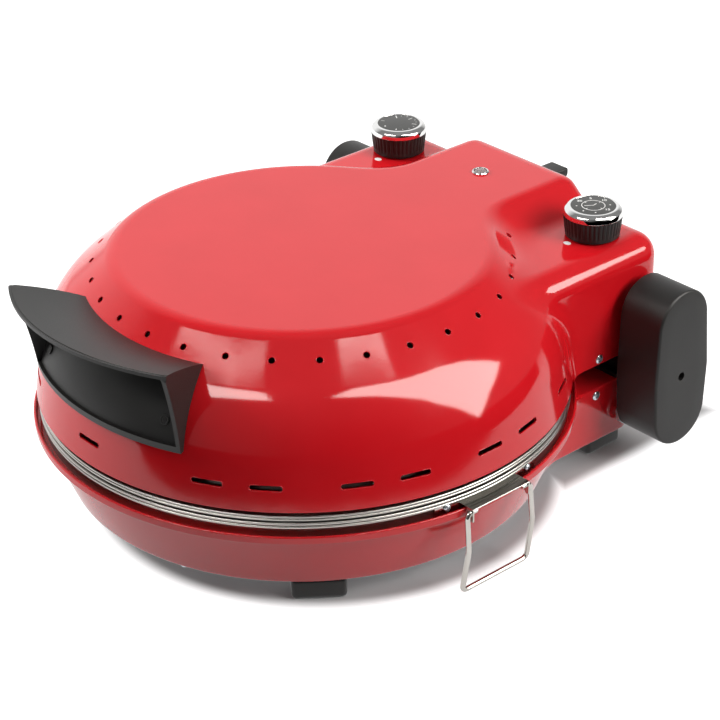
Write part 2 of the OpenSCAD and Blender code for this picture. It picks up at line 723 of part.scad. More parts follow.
lid_screw_y = hinge_y - 35;
lid_screw_z = box_floor_z + 4.3;
module lid_shell() color(RED) place() {
    difference() {
        union() {
            dome(0, lid_z);
            box_block(box_half, box_rear, box_floor_z, shoulder_z, box_round);
            tongue_block(0);
        }
        dome(sheet, box_floor_z - 5);
        difference() {
            union() {
                box_block(box_half - sheet, box_rear - sheet, box_floor_z - 5, shoulder_z - sheet,
                          box_round - sheet);
                tongue_block(sheet);
            }
        }
        for (a = vent_angles()) for (s = [-1, 1])
            rotate([0, 0, s * a]) translate([0, -vent_ring_r, band_z_at(vent_ring_r)])
                rotate([band_slope, 0, 0]) cylinder(r = vent_d / 2, h = 12, center = true, $fn = 20);
        for (a = slot_angles) for (s = [-1, 1]) if (a > 0 || s > 0) flank_slot(s * a);
        for (s = [-1, 1]) {
            translate([s * knob_x, knob_y, shoulder_z]) cylinder(r = shaft_r + 1, h = 8, center = true);
            translate([s * box_half, lid_screw_y, lid_screw_z]) rotate([0, 90, 0])
                cylinder(r = 1.8, h = 8, center = true);
        }
        translate([0, lamp_y, top_z]) cylinder(r = 4.2, h = 8, center = true);
        for (a = handle_screw_angles)
            rotate([0, 0, a]) translate([0, -handle_screw_r, handle_screw_z])
                rotate([90 - handle_screw_tilt, 0, 0]) cylinder(r = 2, h = 16, center = true);
        for (s = [-1, 1]) translate([s * 8, box_rear, rest_screw_z]) rotate([90, 0, 0])
            cylinder(r = 1.8, h = 8, center = true);
    }
}

module upper_box_floor() color(STEEL) place() {
    flange = 9;
    half = box_half - sheet - seat_gap;
    rear = box_rear - sheet - seat_gap;
    r = box_round - sheet - seat_gap;
    difference() {
        union() {
            translate([-half, 0, box_floor_z]) cube([2 * half, rear - r, flange]);
            translate([-half + r, 0, box_floor_z]) cube([2 * (half - r), rear, flange]);
            for (s = [-1, 1]) translate([s * (half - r), rear - r, box_floor_z])
                cylinder(r = r, h = flange);
        }
        translate([-half + liner, -1, box_floor_z + liner]) cube([2 * (half - liner), rear - r + 1, flange]);
        translate([-half + r, -1, box_floor_z + liner]) cube([2 * (half - r), rear - liner + 1, flange]);
        for (s = [-1, 1]) translate([s * (half - r), rear - r, box_floor_z + liner])
            cylinder(r = r - liner, h = flange);
        translate([0, 0, box_floor_z - 1]) cylinder(r = lid_r - sheet, h = flange + 2, $fn = 180);
        for (s = [-1, 1]) translate([s * box_half, lid_screw_y, lid_screw_z]) rotate([0, 90, 0])
            cylinder(r = 1.8, h = 12, center = true);
        for (x = [-60:12:60]) translate([x - 2, lid_r + 6, box_floor_z - 1]) cube([4, 18, 4]);
    }
}

module lid_side_screws() color(STEEL) place() both_sides()
    translate([box_half, lid_screw_y, lid_screw_z]) rotate([0, 90, 0]) pan_screw(3.2, 1.7, 5);

ring_foot = tray_top_z + ring_gap;
roof_inset = 30;
module upper_reflector() color(STEEL) place() {
    seam_z = lid_z + 6;
    roof_r = ring_r - roof_inset;
    difference() {
        rotate_extrude($fn = 180)
            polygon([[0, reflector_roof_z], [roof_r, reflector_roof_z], [ring_r - 3, seam_z + 4],
                     [ring_r, seam_z], [ring_r, ring_foot], [ring_r - 4, ring_foot],
                     [ring_r - 4, ring_foot + liner], [ring_r - liner, ring_foot + liner],
                     [ring_r - liner, seam_z - 0.3], [ring_r - 3.6, seam_z + 3.3],
                     [roof_r - 0.4, reflector_roof_z - liner], [0, reflector_roof_z - liner]]);
        element_leg_holes();
    }
}

upper_leg = 28;
module upper_element() color([0.35, 0.34, 0.33]) place() element(upper_element_z, upper_leg, 1);

module upper_element_clips() color(STEEL) place() {
    foot = upper_element_z + element_d / 2;
    for (a = [30, 150, 270]) for (ring = [element_outer_r, element_inner_r])
        rotate([0, 0, a]) translate([ring - 4, -3, foot])
            cube([8, 6, reflector_roof_z - liner - foot]);
}

// ---------- handle ----------

handle_foot_z = lid_z + handle_foot;
handle_back_gap = seat_gap;
handle_screw_head_r = 3.2;
handle_screw_rise = 17;
handle_screw_z = handle_foot_z + handle_screw_rise;
shoulder_centre = inset(shoulder_corner, band_in, flank_in, shoulder_round);
handle_screw_tilt = asin((handle_screw_z - shoulder_centre[1]) / shoulder_round);
handle_screw_r = shoulder_centre[0] + shoulder_round * cos(handle_screw_tilt);
handle_screw_angles = [4.5 - handle_half_angle, handle_half_angle - 4.5];

// Front edge of the handle's side walls, out from the lid's flank and up from the handle's foot
side_edge = [[3.8, 0], [6, 8], [7.3, 25], [10, 35], [13.6, 47], [17, 56]];

// Outline in radius and height of the handle, inset by t from its outer faces; the back follows the lid
module handle_section(t) {
    root = [handle_root_r, band_z_at(handle_root_r)];
    slope = [cos(handle_slope), sin(handle_slope)];
    tip = root + slope * (handle_reach + 6 - handle_root_r) / cos(handle_slope);
    foot_r = flank_r_at(handle_foot_z);
    foot_in = handle_foot_z + t * 1.5;
    mouth = t > 0 ? 14 : 0;
    back = [for (p = dome_outline(-handle_back_gap - t, lid_z))
        if (p[0] > handle_root_r + t && p[1] > foot_in) p];
    under = t * [sin(handle_slope), -cos(handle_slope)];
    polygon(concat([root + under + [t * 0.9, 0] + [handle_back_gap * 0.7, 0]], back,
        [[flank_r_at(foot_in) + handle_back_gap + t, foot_in]],
        [for (p = side_edge) [foot_r + p[0] + mouth, max(handle_foot_z + p[1], foot_in)]],
        [[tip[0] - 2, tip[1] - 4.5 - (t > 0 ? 2 : 0)], tip + under]));
}

module handle_sector(half_angle, t)
    rotate([0, 0, -90 - half_angle]) rotate_extrude(angle = 2 * half_angle, $fn = 180) handle_section(t);

module lid_handle() color(BLACK) place() {
    side_angle = handle_wall * 180 / (PI * lid_r);
    difference() {
        intersection() {
            handle_sector(handle_half_angle, 0);
            // the front edge runs on its own arc, flatter than the lid's
            translate([0, handle_edge_r - handle_reach, 0])
                cylinder(r = handle_edge_r, h = top_z + 40, $fn = 180);
        }
        handle_sector(handle_half_angle - side_angle, handle_wall);
        for (a = handle_screw_angles)
            rotate([0, 0, a]) translate([0, -handle_screw_r, handle_screw_z])
                rotate([90 - handle_screw_tilt, 0, 0]) cylinder(r = 2, h = 24, center = true);
    }
}

module handle_screws() color(STEEL) place()
    for (a = handle_screw_angles)
        rotate([0, 0, a]) translate([0, -handle_screw_r, handle_screw_z])
            rotate([90 - handle_screw_tilt, 0, 0])
                translate([0, 0, handle_back_gap + handle_wall + 0.1]) pan_screw(handle_screw_head_r, 1.8, 9);

// ---------- rear rest ----------

rest_screw_z = rest_top_z - rest_h - 8;
module rear_rest() color(BLACK) place() {
    r = rest_w / 2;
    top = rest_top_z;
    difference() {
        union() {
            translate([-r, box_rear, top - rest_h]) cube([rest_w, rest_len - 6, rest_h]);
            translate([-r + 6, box_rear, top - rest_h]) cube([rest_w - 12, rest_len, rest_h]);
            for (s = [-1, 1]) translate([s * (r - 6), box_rear + rest_len - 6, top - rest_h])
                cylinder(r = 6, h = rest_h);
            translate([-r - 2, box_rear, rest_screw_z - 6])
                cube([rest_w + 4, rest_flange, top - rest_screw_z + 6]);
        }
        translate([-r + 3, box_rear + 6, top - rest_h - 1]) cube([rest_w - 6, rest_len - 12, rest_h - 2]);
        for (s = [-1, 1]) translate([s * 8, box_rear, rest_screw_z]) rotate([90, 0, 0])
            cylinder(r = 1.8, h = 12, center = true);
    }
}

module rear_rest_screws() color(STEEL) place()
    for (s = [-1, 1]) translate([s * 8, box_rear + rest_flange, rest_screw_z]) rotate([-90, 0, 0])
        pan_screw(3, 1.7, 7);

// ---------- controls ----------

control_neck_h = 6;
control_neck_r = 7;
shaft_depth = 13;
module control_body(r) {
    difference() {
        union() {
            translate([0, 0, control_top_z - control_h]) cylinder(r = r, h = control_h - control_neck_h);
            translate([0, 0, control_top_z - control_neck_h])
                cylinder(r = control_neck_r, h = control_neck_h);
        }
        translate([0, 0, control_top_z - shaft_depth - 1]) cylinder(r = shaft_r + fit, h = control_h);
    }
}
thermostat_body_r = 16;
timer_body_r = 20;
module thermostat_body() color([0.85, 0.83, 0.78]) place()
    translate([-knob_x, knob_y, 0]) control_body(thermostat_body_r);
module timer_body() color([0.72, 0.7, 0.62]) place()
    translate([knob_x, knob_y, 0]) control_body(timer_body_r);

module control_shaft() translate([0, 0, control_top_z - shaft_depth])
    cylinder(r = shaft_r, h = knob_top_z - 6 - control_top_z + shaft_depth);
module thermostat_shaft() color(STEEL) place() translate([-knob_x, knob_y, 0]) control_shaft();
module timer_shaft() color(STEEL) place() translate([knob_x, knob_y, 0]) control_shaft();

rib_depth = 0.6;
rib_taper = 1.6;
// Ribbed outline of radius r, one rib and one groove per step
function rib_points(r) = [for (i = [0:rib_count - 1]) for (k = [0:3])
    let (a = 360 * (i + [0, 0.3, 0.5, 0.8][k]) / rib_count, rr = k < 2 ? r : r - rib_depth)
    rr * [cos(a), sin(a)]];
module knob_grip() {
    r = knob_d / 2;
    foot_r = r - rib_taper;
    skirt_h = ring_foot_z - knob_foot_z;
    difference() {
        union() {
            translate([0, 0, knob_foot_z]) linear_extrude(skirt_h, scale = r / foot_r)
                polygon(rib_points(foot_r));
            translate([0, 0, ring_foot_z - 1]) cylinder(r = dial_r + 1, h = knob_top_z - ring_foot_z);
        }
        translate([0, 0, knob_foot_z - 1]) cylinder(r = shaft_r + fit, h = knob_top_z - 5 - knob_foot_z);
        translate([0, 0, knob_foot_z - 1]) difference() {
            cylinder(r = foot_r - 3, h = 11);
            translate([0, 0, -1]) cylinder(r = shaft_r + 3, h = 13);
        }
    }
}

module knob_ring() {
    r = knob_d / 2;
    steps = 5;
    rotate_extrude($fn = 96) polygon(concat(
        [[dial_r + 1, knob_top_z - 1], [dial_r + 1, ring_foot_z], [r, ring_foot_z]],
        [for (i = [1:steps]) let (a = 90 * i / steps)
            [dial_r + (r - dial_r) * cos(a), ring_foot_z + 0.5 + (knob_top_z - ring_foot_z - 0.5) * sin(a)]],
        [[dial_r, knob_top_z - 1]]));
}

module knob_dial() translate([0, 0, knob_top_z - 1]) cylinder(r = dial_r, h = 0.9, $fn = 96);

module thermostat_knob() color(BLACK) place() translate([-knob_x, knob_y, 0]) knob_grip();
module thermostat_knob_ring() color(STEEL) place() translate([-knob_x, knob_y, 0]) knob_ring();
module thermostat_dial() color([0.3, 0.3, 0.28]) place() translate([-knob_x, knob_y, 0]) knob_dial();
module timer_knob() color(BLACK) place() translate([knob_x, knob_y, 0]) knob_grip();
module timer_knob_ring() color(STEEL) place() translate([knob_x, knob_y, 0]) knob_ring();
module timer_dial() color([0.3, 0.3, 0.28]) place() translate([knob_x, knob_y, 0]) knob_dial();

module indicator_bezel() color(STEEL) place() translate([0, lamp_y, top_z]) difference() {
    cylinder(r = 6, h = 1, $fn = 48);
    translate([0, 0, -1]) cylinder(r = 4.6, h = 4, $fn = 48);
}

module indicator_lens() color([0.85, 0.85, 0.86]) place() translate([0, lamp_y, 0]) {
    translate([0, 0, top_z]) cylinder(r = 4.5, h = 1, $fn = 48);
    translate([0, 0, top_z + 1]) cylinder(r1 = 4.5, r2 = 3, h = 0.8, $fn = 48);
}

module indicator_lamp() color([0.9, 0.85, 0.8]) place() translate([0, lamp_y, top_z - 24])
    cylinder(r = 4, h = 24, $fn = 48);

module index_marks() color("white") place() both_sides()
    translate([knob_x - 2, knob_y - knob_d / 2 - 1.9, shoulder_z]) linear_extrude(0.2) {
        square([2.4, 2.6], center = true);
        for (s = [-1, 1]) translate([s * 1.2, 0]) circle(1.3, $fn = 24);
    }

base_housing();
base_bottom_plate();
bottom_plate_screws();
front_foot_left();
front_foot_right();
rear_foot_left();
rear_foot_right();
lower_reflector();
lower_element();
lower_element_clips();
lower_terminal_block();
cord_gland();
hinge_guards();
stone_tray();
baking_stone();
bail_bracket_right();
bail_bracket_left();
bail_bracket_screws();
hinge_rod();
base_hinge_arm_right();
base_hinge_arm_left();
base_side_screws();
arm_cover_right();
arm_cover_left();
arm_cover_screws();
lid_shell();
upper_box_floor();
lid_side_screws();
lid_hinge_arm_right();
lid_hinge_arm_left();
upper_reflector();
upper_element();
upper_element_clips();
lid_handle();
handle_screws();
rear_rest();
rear_rest_screws();
thermostat_body();
timer_body();
indicator_bezel();
indicator_lens();
indicator_lamp();
index_marks();
thermostat_shaft();
thermostat_knob();
thermostat_knob_ring();
thermostat_dial();
timer_shaft();
timer_knob();
timer_knob_ring();
timer_dial();
bail_right();
bail_left();
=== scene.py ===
import math

import bmesh
import bpy
import numpy as np
from mathutils import Matrix, Vector


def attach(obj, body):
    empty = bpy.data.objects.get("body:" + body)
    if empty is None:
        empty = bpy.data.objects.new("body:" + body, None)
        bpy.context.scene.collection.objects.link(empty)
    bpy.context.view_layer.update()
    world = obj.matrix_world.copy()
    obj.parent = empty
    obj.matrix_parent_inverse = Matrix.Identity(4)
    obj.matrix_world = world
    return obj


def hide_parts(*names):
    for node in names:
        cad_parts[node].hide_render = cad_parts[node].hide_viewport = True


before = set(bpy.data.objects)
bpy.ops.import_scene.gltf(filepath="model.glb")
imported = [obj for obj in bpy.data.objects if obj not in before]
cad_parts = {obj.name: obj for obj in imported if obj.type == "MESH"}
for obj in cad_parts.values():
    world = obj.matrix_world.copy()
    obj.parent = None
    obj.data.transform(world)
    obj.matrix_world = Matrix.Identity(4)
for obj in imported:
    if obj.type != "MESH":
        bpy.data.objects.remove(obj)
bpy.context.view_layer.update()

# ---------------------------------------------------------------- studio
# Camera on a tripod in front and to the right of a white table, three soft lights, two softboxes
# that show as highlights in the enamel, and black cloth on the table that keeps its colour deep.
MM = 0.001
scene = bpy.context.scene
scene.view_settings.view_transform = "Standard"

camera_azimuth = math.radians(48.76)
camera_elevation = math.radians(29.01)
camera_roll = math.radians(-0.79)
right = Vector((math.cos(camera_azimuth), math.sin(camera_azimuth), 0))
back = Vector((math.sin(camera_azimuth) * math.cos(camera_elevation),
               -math.cos(camera_azimuth) * math.cos(camera_elevation),
               math.sin(camera_elevation)))
up = back.cross(right)
view_x = right * math.cos(camera_roll) + up * math.sin(camera_roll)
view_y = up * math.cos(camera_roll) - right * math.sin(camera_roll)
camera = bpy.data.objects.new("camera", bpy.data.cameras.new("camera"))
scene.collection.objects.link(camera)
camera.matrix_world = Matrix.Translation((1.0124, -0.8627, 0.8118)) @ Matrix(
    (view_x, view_y, back)).transposed().to_4x4()
camera.data.sensor_width = 36
camera.data.lens = 113.02
camera.data.clip_start = 0.05
camera.data.clip_end = 50
scene.camera = camera


def nodes_of(name, levels):
    """A new node material with its node tree and its Principled shader, some of its inputs set."""
    made = bpy.data.materials.new(name)
    made.use_nodes = True
    shader = made.node_tree.nodes["Principled BSDF"]
    for socket, value in levels.items():
        shader.inputs[socket].default_value = value
    return made, made.node_tree, shader


def node_in(tree, kind, inputs, **settings):
    """Adds a node, with its inputs linked or set, and returns its outputs."""
    node = tree.nodes.new(kind)
    for setting, value in settings.items():
        setattr(node, setting, value)
    for socket, value in inputs.items():
        if isinstance(value, bpy.types.NodeSocket):
            tree.links.new(value, node.inputs[socket])
        else:
            node.inputs[socket].default_value = value
    return node.outputs


def maths(tree, operation, *values):
    return node_in(tree, "ShaderNodeMath", dict(enumerate(values)), operation=operation)[0]


def vectors(tree, operation, *values):
    return node_in(tree, "ShaderNodeVectorMath", dict(enumerate(values)), operation=operation)


def ray_kinds(tree):
    return node_in(tree, "ShaderNodeLightPath", {})


def on_piece(tree):
    """Places on the piece, so that a texture moves with it."""
    return node_in(tree, "ShaderNodeTexCoord", {})["Object"]


def studio_rays(tree):
    """1 for what the camera, a gloss or a glass sees, 0 for the light that reaches the object."""
    rays = ray_kinds(tree)
    seen = maths(tree, "MAXIMUM", rays["Is Camera Ray"], rays["Is Glossy Ray"])
    return maths(tree, "MAXIMUM", seen, rays["Is Transmission Ray"])


world = bpy.data.worlds.new("studio")
scene.world = world
world.use_nodes = True
sky = world.node_tree
heading = node_in(sky, "ShaderNodeTexCoord", {})["Generated"]
room_turn = camera_azimuth + 0.28
facing = vectors(sky, "DOT_PRODUCT", heading, (-math.sin(room_turn), math.cos(room_turn), 0))
spread = node_in(sky, "ShaderNodeMapRange", {"Value": facing["Value"], "From Min": -1})
room = sky.nodes.new("ShaderNodeValToRGB")
sky.links.new(spread["Result"], room.inputs["Fac"])
room.color_ramp.elements[0].color = (0, 0, 0, 1)
room.color_ramp.elements[1].color = (1, 1, 1, 1)
for position, grey in ((0.1, 0.13), (0.32, 0.27), (0.5, 0.24), (0.7, 0.22), (0.9, 1.0)):
    room.color_ramp.elements.new(position).color = (grey, grey, grey, 1)
reflected = node_in(sky, "ShaderNodeMix", {
    "Factor": studio_rays(sky), "A": (0.2, 0.2, 0.2, 1), "B": room.outputs["Color"]}, data_type="RGBA")
seen = node_in(sky, "ShaderNodeMix", {
    "Factor": ray_kinds(sky)["Is Camera Ray"], "A": reflected["Result"], "B": (1, 1, 1, 1)},
    data_type="RGBA")
sky.links.new(seen["Result"], sky.nodes["Background"].inputs["Color"])

floor_mesh = bpy.data.meshes.new("floor")
floor_mesh.from_pydata([(-9, -9, 0), (9, -9, 0), (9, 9, 0), (-9, 9, 0)], [], [(0, 1, 2, 3)])
floor = bpy.data.objects.new("floor", floor_mesh)
scene.collection.objects.link(floor)
floor_paint, tree, shader = nodes_of("floor_paint", {
    "Base Color": (0.36, 0.36, 0.36, 1), "Roughness": 0.9, "Specular IOR Level": 0.1,
    "Emission Color": (1, 1, 1, 1)})

# The table glows white all round the oven, for the camera. Under the oven that glow is held low in a
# painted shadow: a circle below the bowl and a rectangle below the low box, both with soft edges.
shade_circle = (0.012, -0.018, 0)
shade_radius = 0.148
shade_box = (0, 0.1615, 0)
shade_box_half = (0.128, 0.0665, 0)
table_in_gloss = 0.6
spot = on_piece(tree)
from_bowl = vectors(tree, "LENGTH", vectors(tree, "SUBTRACT", spot, shade_circle)[0])["Value"]
from_middle = vectors(tree, "ABSOLUTE", vectors(tree, "SUBTRACT", spot, shade_box)[0])[0]
past_box = node_in(tree, "ShaderNodeSeparateXYZ",
                   {"Vector": vectors(tree, "SUBTRACT", from_middle, shade_box_half)[0]})
away = maths(tree, "MINIMUM", maths(tree, "SUBTRACT", from_bowl, shade_radius),
             maths(tree, "MAXIMUM", past_box["X"], past_box["Y"]))
# Painted shadow: the table's glow for the camera is low inside the circle and rectangle, full outside.
lit = node_in(tree, "ShaderNodeMapRange", {
    "Value": away, "From Min": 0.002, "From Max": 0.018, "To Min": 0.03, "To Max": 1},
    interpolation_type="SMOOTHSTEP")["Result"]
glow = maths(tree, "MULTIPLY", ray_kinds(tree)["Is Camera Ray"],
             maths(tree, "SUBTRACT", lit, table_in_gloss))
tree.links.new(maths(tree, "MULTIPLY_ADD", studio_rays(tree), table_in_gloss, glow),
               shader.inputs["Emission Strength"])
floor_mesh.materials.append(floor_paint)


def soft_light(name, place, size, power):
    """A large diffused lamp aimed at the oven. Its own shape doesn't show in the gloss."""
    lamp = bpy.data.lights.new(name, "AREA")
    lamp.shape = "RECTANGLE"
    lamp.size, lamp.size_y = size
    lamp.energy = power
    holder = bpy.data.objects.new(name, lamp)
    scene.collection.objects.link(holder)
    holder.location = place
    holder.rotation_mode = "QUATERNION"
    holder.rotation_quaternion = (Vector(place) - oven_middle).to_track_quat("Z", "Y")
    holder.visible_glossy = False


oven_middle = Vector((0, 0, 0.1))
soft_light("overhead_light", (-0.3, 0.45, 3.2), (2.0, 1.8), 49)
soft_light("right_light", (1.6, 0.7, 1.1), (1.0, 1.0), 35)
soft_light("left_light", (-1.7, -0.9, 1.0), (1.0, 1.0), 55)
faint_share = 0.03


def panel(name, corners, strength):
    """A flat panel that only gloss sees: a softbox's face, or black cloth where the strength is 0.
    It is faint by way of a second gloss, so that wires and brackets don't glare in each other."""
    mesh = bpy.data.meshes.new(name)
    mesh.from_pydata(corners, [], [tuple(range(len(corners)))])
    board = bpy.data.objects.new(name, mesh)
    scene.collection.objects.link(board)
    paint, tree, shader = nodes_of(name, {"Base Color": (0, 0, 0, 1), "Specular IOR Level": 0,
                                          "Emission Color": (1, 0.97, 0.93, 1)})
    first = maths(tree, "LESS_THAN", ray_kinds(tree)["Glossy Depth"], 1.5)
    power = maths(tree, "MULTIPLY_ADD", first, strength * (1 - faint_share), strength * faint_share)
    tree.links.new(power, shader.inputs["Emission Strength"])
    mesh.materials.append(paint)
    board.visible_camera = board.visible_diffuse = board.visible_shadow = False
    board.visible_transmission = False


lid_shoulder = Vector((0.12, -0.11, 0.15))
softbox_distance = 1.6


def from_shoulder(*directions):
    """Corners of a softbox, each by the azimuth and elevation at which the lid's shoulder sees it."""
    corners = []
    for azimuth, elevation in directions:
        a, e = math.radians(azimuth), math.radians(elevation)
        ray = Vector((math.sin(a) * math.cos(e), -math.cos(a) * math.cos(e), math.sin(e)))
        corners.append(lid_shoulder + softbox_distance * ray)
    return corners


panel("left_softbox", from_shoulder((-38, 41), (-20, 36), (-1, 47), (28, 54), (19, 61), (-20, 52)), 11)
panel("left_softbox_top", from_shoulder((-43, 47.4), (-26, 55.8), (-9, 61.6), (12, 67.1), (11, 65.7),
                                        (-9, 60.0), (-26, 54.2), (-43, 45.8)), 8)
panel("right_softbox", from_shoulder((66, 57), (86, 62), (118, 54), (137, 47), (144, 39), (149, 20),
                                     (134, 9), (125, -4), (112, 22), (107, 33), (92, 49)), 11)
panel("right_softbox_top", from_shoulder((84, 69.5), (97, 67.5), (109, 63.5), (119, 60), (116, 58.6),
                                         (97, 65), (84, 67)), 9)

# The cloth's near edge runs along the oven's right side and round its front, and then away.
cloth_height = 0.002
cloth_edge = ((0.38, 0.78), (0.396, 0.246), (0.43, -0.106), (0.403, -0.229), (0.314, -0.352),
              (0.259, -0.395), (0.19, -0.424), (0.116, -0.439), (0.039, -0.446), (-0.023, -0.46),
              (-0.056, -0.476), (-0.16, -0.62), (-0.6, -1.1), (-4.0, -9.5), (9.5, -9.5), (9.5, 9.5),
              (3.0, 9.5))
panel("black_cloth", [(x, y, cloth_height) for x, y in cloth_edge], 0)

# ---------------------------------------------------------------- bowl
# Deep-drawn steel bowl of the base, stove-enamelled red inside and out. The low box behind it
# is welded on and enamelled with it, so both are one piece with a soft valley between them.
axis_y = -23.75
spokes = np.radians(np.concatenate([np.arange(150, 390, 1.0), np.arange(30, 150, 0.4)]))
box_half = 126.5
low_box_rear = 182.0
bowl_foot = (160.0, 15.0)
bowl_top = (176.5, 56.2)
bowl_bend = 1.5
bowl_flange = 8.0
low_box_round = 6.0
bowl_valley = 12.0
sheet = 1.2


def soft_min(a, b, blend):
    """The union of two distance fields, with a rounded valley where they meet."""
    h = np.maximum(blend - np.abs(a - b), 0) / blend
    return np.minimum(a, b) - h * h * blend / 4


def round_max(a, b, radius):
    """The overlap of two distance fields, with a rounded edge where they meet."""
    p, q = a + radius, b + radius
    return (np.minimum(np.maximum(p, q), 0)
            + np.hypot(np.maximum(p, 0), np.maximum(q, 0)) - radius)


def bowl_field(p):
    x, y, z = p[..., 0], p[..., 1], p[..., 2]
    lean = (bowl_top[0] - bowl_foot[0]) / (bowl_top[1] - bowl_foot[1])
    bowl = (np.hypot(x, y) - bowl_foot[0] - lean * (z - bowl_foot[1])) / math.hypot(1, lean)
    box = np.maximum(round_max(np.abs(x) - box_half, y - low_box_rear, low_box_round), -y)
    return soft_min(bowl, box, bowl_valley)


def cast(field, level, start_z, rise):
    """Where rays from the body axis, one per spoke and climbing by rise degrees, meet a field's level."""
    climb = math.radians(rise)
    ray = np.stack([np.cos(spokes) * math.cos(climb), np.sin(spokes) * math.cos(climb),
                    np.full(len(spokes), math.sin(climb))], 1)
    start = np.array((0, 0, start_z))
    near, far = np.zeros(len(spokes)), np.full(len(spokes), 320.0)
    for _ in range(36):
        middle = (near + far) / 2
        inside = field(start + ray * middle[:, None]) < level
        near, far = np.where(inside, middle, near), np.where(inside, far, middle)
    return start + ray * near[:, None]


def link_piece(name, mesh, body, paint):
    """Hangs a finished mesh on the body axis, in metres, and lets it ride on its body."""
    piece = bpy.data.objects.new(name, mesh)
    scene.collection.objects.link(piece)
    mesh.transform(Matrix.Scale(MM, 4))
    piece.location = (0, axis_y * MM, 0)
    mesh.materials.append(paint)
    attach(piece, body)
    return piece


def skin(work, loops, closed=False):
    """Joins loops of points, each to the next, with a band of faces. It may close up on itself."""
    count = len(loops[0])
    loops = [[work.verts.new(point) for point in loop] for loop in loops]
    following = loops[1:] + loops[:1] if closed else loops[1:]
    for a, b in zip(loops, following):
        for j in range(count):
            k = (j + 1) % count
            work.faces.new((a[j], a[k], b[k], b[j]))
    return loops


def done_mesh(work, name, sharp=None):
    """Closes a worked mesh off, shaded smooth up to a sharp angle where one is given."""
    mesh = bpy.data.meshes.new(name)
    work.to_mesh(mesh)
    work.free()
    if sharp:
        mesh.shade_smooth()
        mesh.set_sharp_from_angle(angle=math.radians(sharp))
    return mesh


def close_rings(name, rings, closed=True, sharp=35):
    """A mesh through rings of points. Each ring runs round the piece, and the next joins it."""
    work = bmesh.new()
    skin(work, rings, closed)
    bmesh.ops.remove_doubles(work, verts=work.verts, dist=0.004)
    bmesh.ops.recalc_face_normals(work, faces=work.faces)
    return done_mesh(work, name, sharp)


def noise_in(tree, scale, detail=2, roughness=0.5, where=None):
    """Noise that is fixed to the piece and moves with it."""
    inputs = {"Scale": scale, "Detail": detail, "Roughness": roughness,
              "Vector": on_piece(tree) if where is None else where}
    return node_in(tree, "ShaderNodeTexNoise", inputs)["Fac"]


def tint_by(tree, shader, value, first, last, stops=(0, 1)):
    """Lets the colour drift between two shades with a value."""
    tint = tree.nodes.new("ShaderNodeValToRGB")
    for step, stop, shade in zip(tint.color_ramp.elements, stops, (first, last)):
        step.position = stop
        step.color = (*shade, 1)
    tree.links.new(value, tint.inputs["Fac"])
    tree.links.new(tint.outputs["Color"], shader.inputs["Base Color"])


def gloss_by(tree, shader, value, smooth, rough):
    """Lets the roughness drift between two levels with a value."""
    drift = node_in(tree, "ShaderNodeMapRange", {"Value": value, "To Min": smooth, "To Max": rough})
    tree.links.new(drift["Result"], shader.inputs["Roughness"])


def relief_by(tree, shader, height, strength, depth):
    """Adds fine relief to the finish, on top of any that it has already."""
    inputs = {"Strength": strength, "Distance": depth, "Height": height}
    for link in shader.inputs["Normal"].links:
        inputs["Normal"] = link.from_socket
    tree.links.new(node_in(tree, "ShaderNodeBump", inputs)["Normal"], shader.inputs["Normal"])


red_enamel, tree, shader = nodes_of("red_enamel", {"Roughness": 0.09, "IOR": 1.52})
tint_by(tree, shader, noise_in(tree, 22, 3),
        (0.515, 0.0065, 0.0105), (0.55, 0.0085, 0.0135), (0.3, 0.75))
relief_by(tree, shader, noise_in(tree, 55, 3), 0.35, 0.00012)
relief_by(tree, shader, noise_in(tree, 700), 0.12, 0.0001)

bowl_rings = [cast(bowl_field, 0, z, 0) for z in np.linspace(bowl_top[1], bowl_foot[1] + bowl_bend, 24)]
for turn in np.radians((30, 60, 90)):
    bowl_rings.append(cast(bowl_field, -bowl_bend * (1 - math.cos(turn)),
                           bowl_foot[1] + bowl_bend * (1 - math.sin(turn)), 0))
bowl_rings.append(cast(bowl_field, -bowl_flange, bowl_foot[1], 0))
bowl_rings.append(cast(bowl_field, -bowl_flange, bowl_foot[1] + sheet, 0))
bowl_rings += [cast(bowl_field, -sheet, z, 0)
               for z in np.linspace(bowl_foot[1] + sheet, bowl_top[1], 8)]
bowl = link_piece("bowl", close_rings("bowl", bowl_rings), "base", red_enamel)
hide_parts("base_housing")

# ---------------------------------------------------------------- rim
# The bowl's upturned rim: the edge of the enamelled sheet is flanged outwards, turned up and
# hemmed, and a ledge inside it carries the stone tray.
rim_radius = 181.0
rim_top = 62.0
rim_wall = 1.9
ledge_top = 57.2
ledge_inner = 146.0


def soften(corners, step=15):
    """Rounds each corner (x, y, radius) of a closed outline with an arc."""
    points = []
    for i, (x, y, radius) in enumerate(corners):
        p = np.array((x, y), float)
        a = np.array(corners[i - 1][:2], float) - p
        b = np.array(corners[(i + 1) % len(corners)][:2], float) - p
        reach_a, reach_b = np.hypot(*a), np.hypot(*b)
        a, b = a / reach_a, b / reach_b
        inner = math.acos(max(-1, min(1, float(a @ b))))
        if radius == 0 or inner > math.pi - 0.01:
            points.append(tuple(p))
            continue
        cut = min(radius / math.tan(inner / 2), reach_a * 0.49, reach_b * 0.49)
        radius = cut * math.tan(inner / 2)
        middle = a + b
        centre = p + middle / np.hypot(*middle) * (radius / math.sin(inner / 2))
        first, last = p + a * cut - centre, p + b * cut - centre
        turn = math.atan2(first[0] * last[1] - first[1] * last[0], float(first @ last))
        steps = max(2, math.ceil(abs(math.degrees(turn)) / step))
        for k in range(steps + 1):
            c, s = math.cos(turn * k / steps), math.sin(turn * k / steps)
            points.append((centre[0] + first[0] * c - first[1] * s,
                           centre[1] + first[0] * s + first[1] * c))
    return points


def full_turn(steps):
    """The angles of points spaced evenly round a circle."""
    return np.linspace(0, 2 * math.pi, steps, endpoint=False)


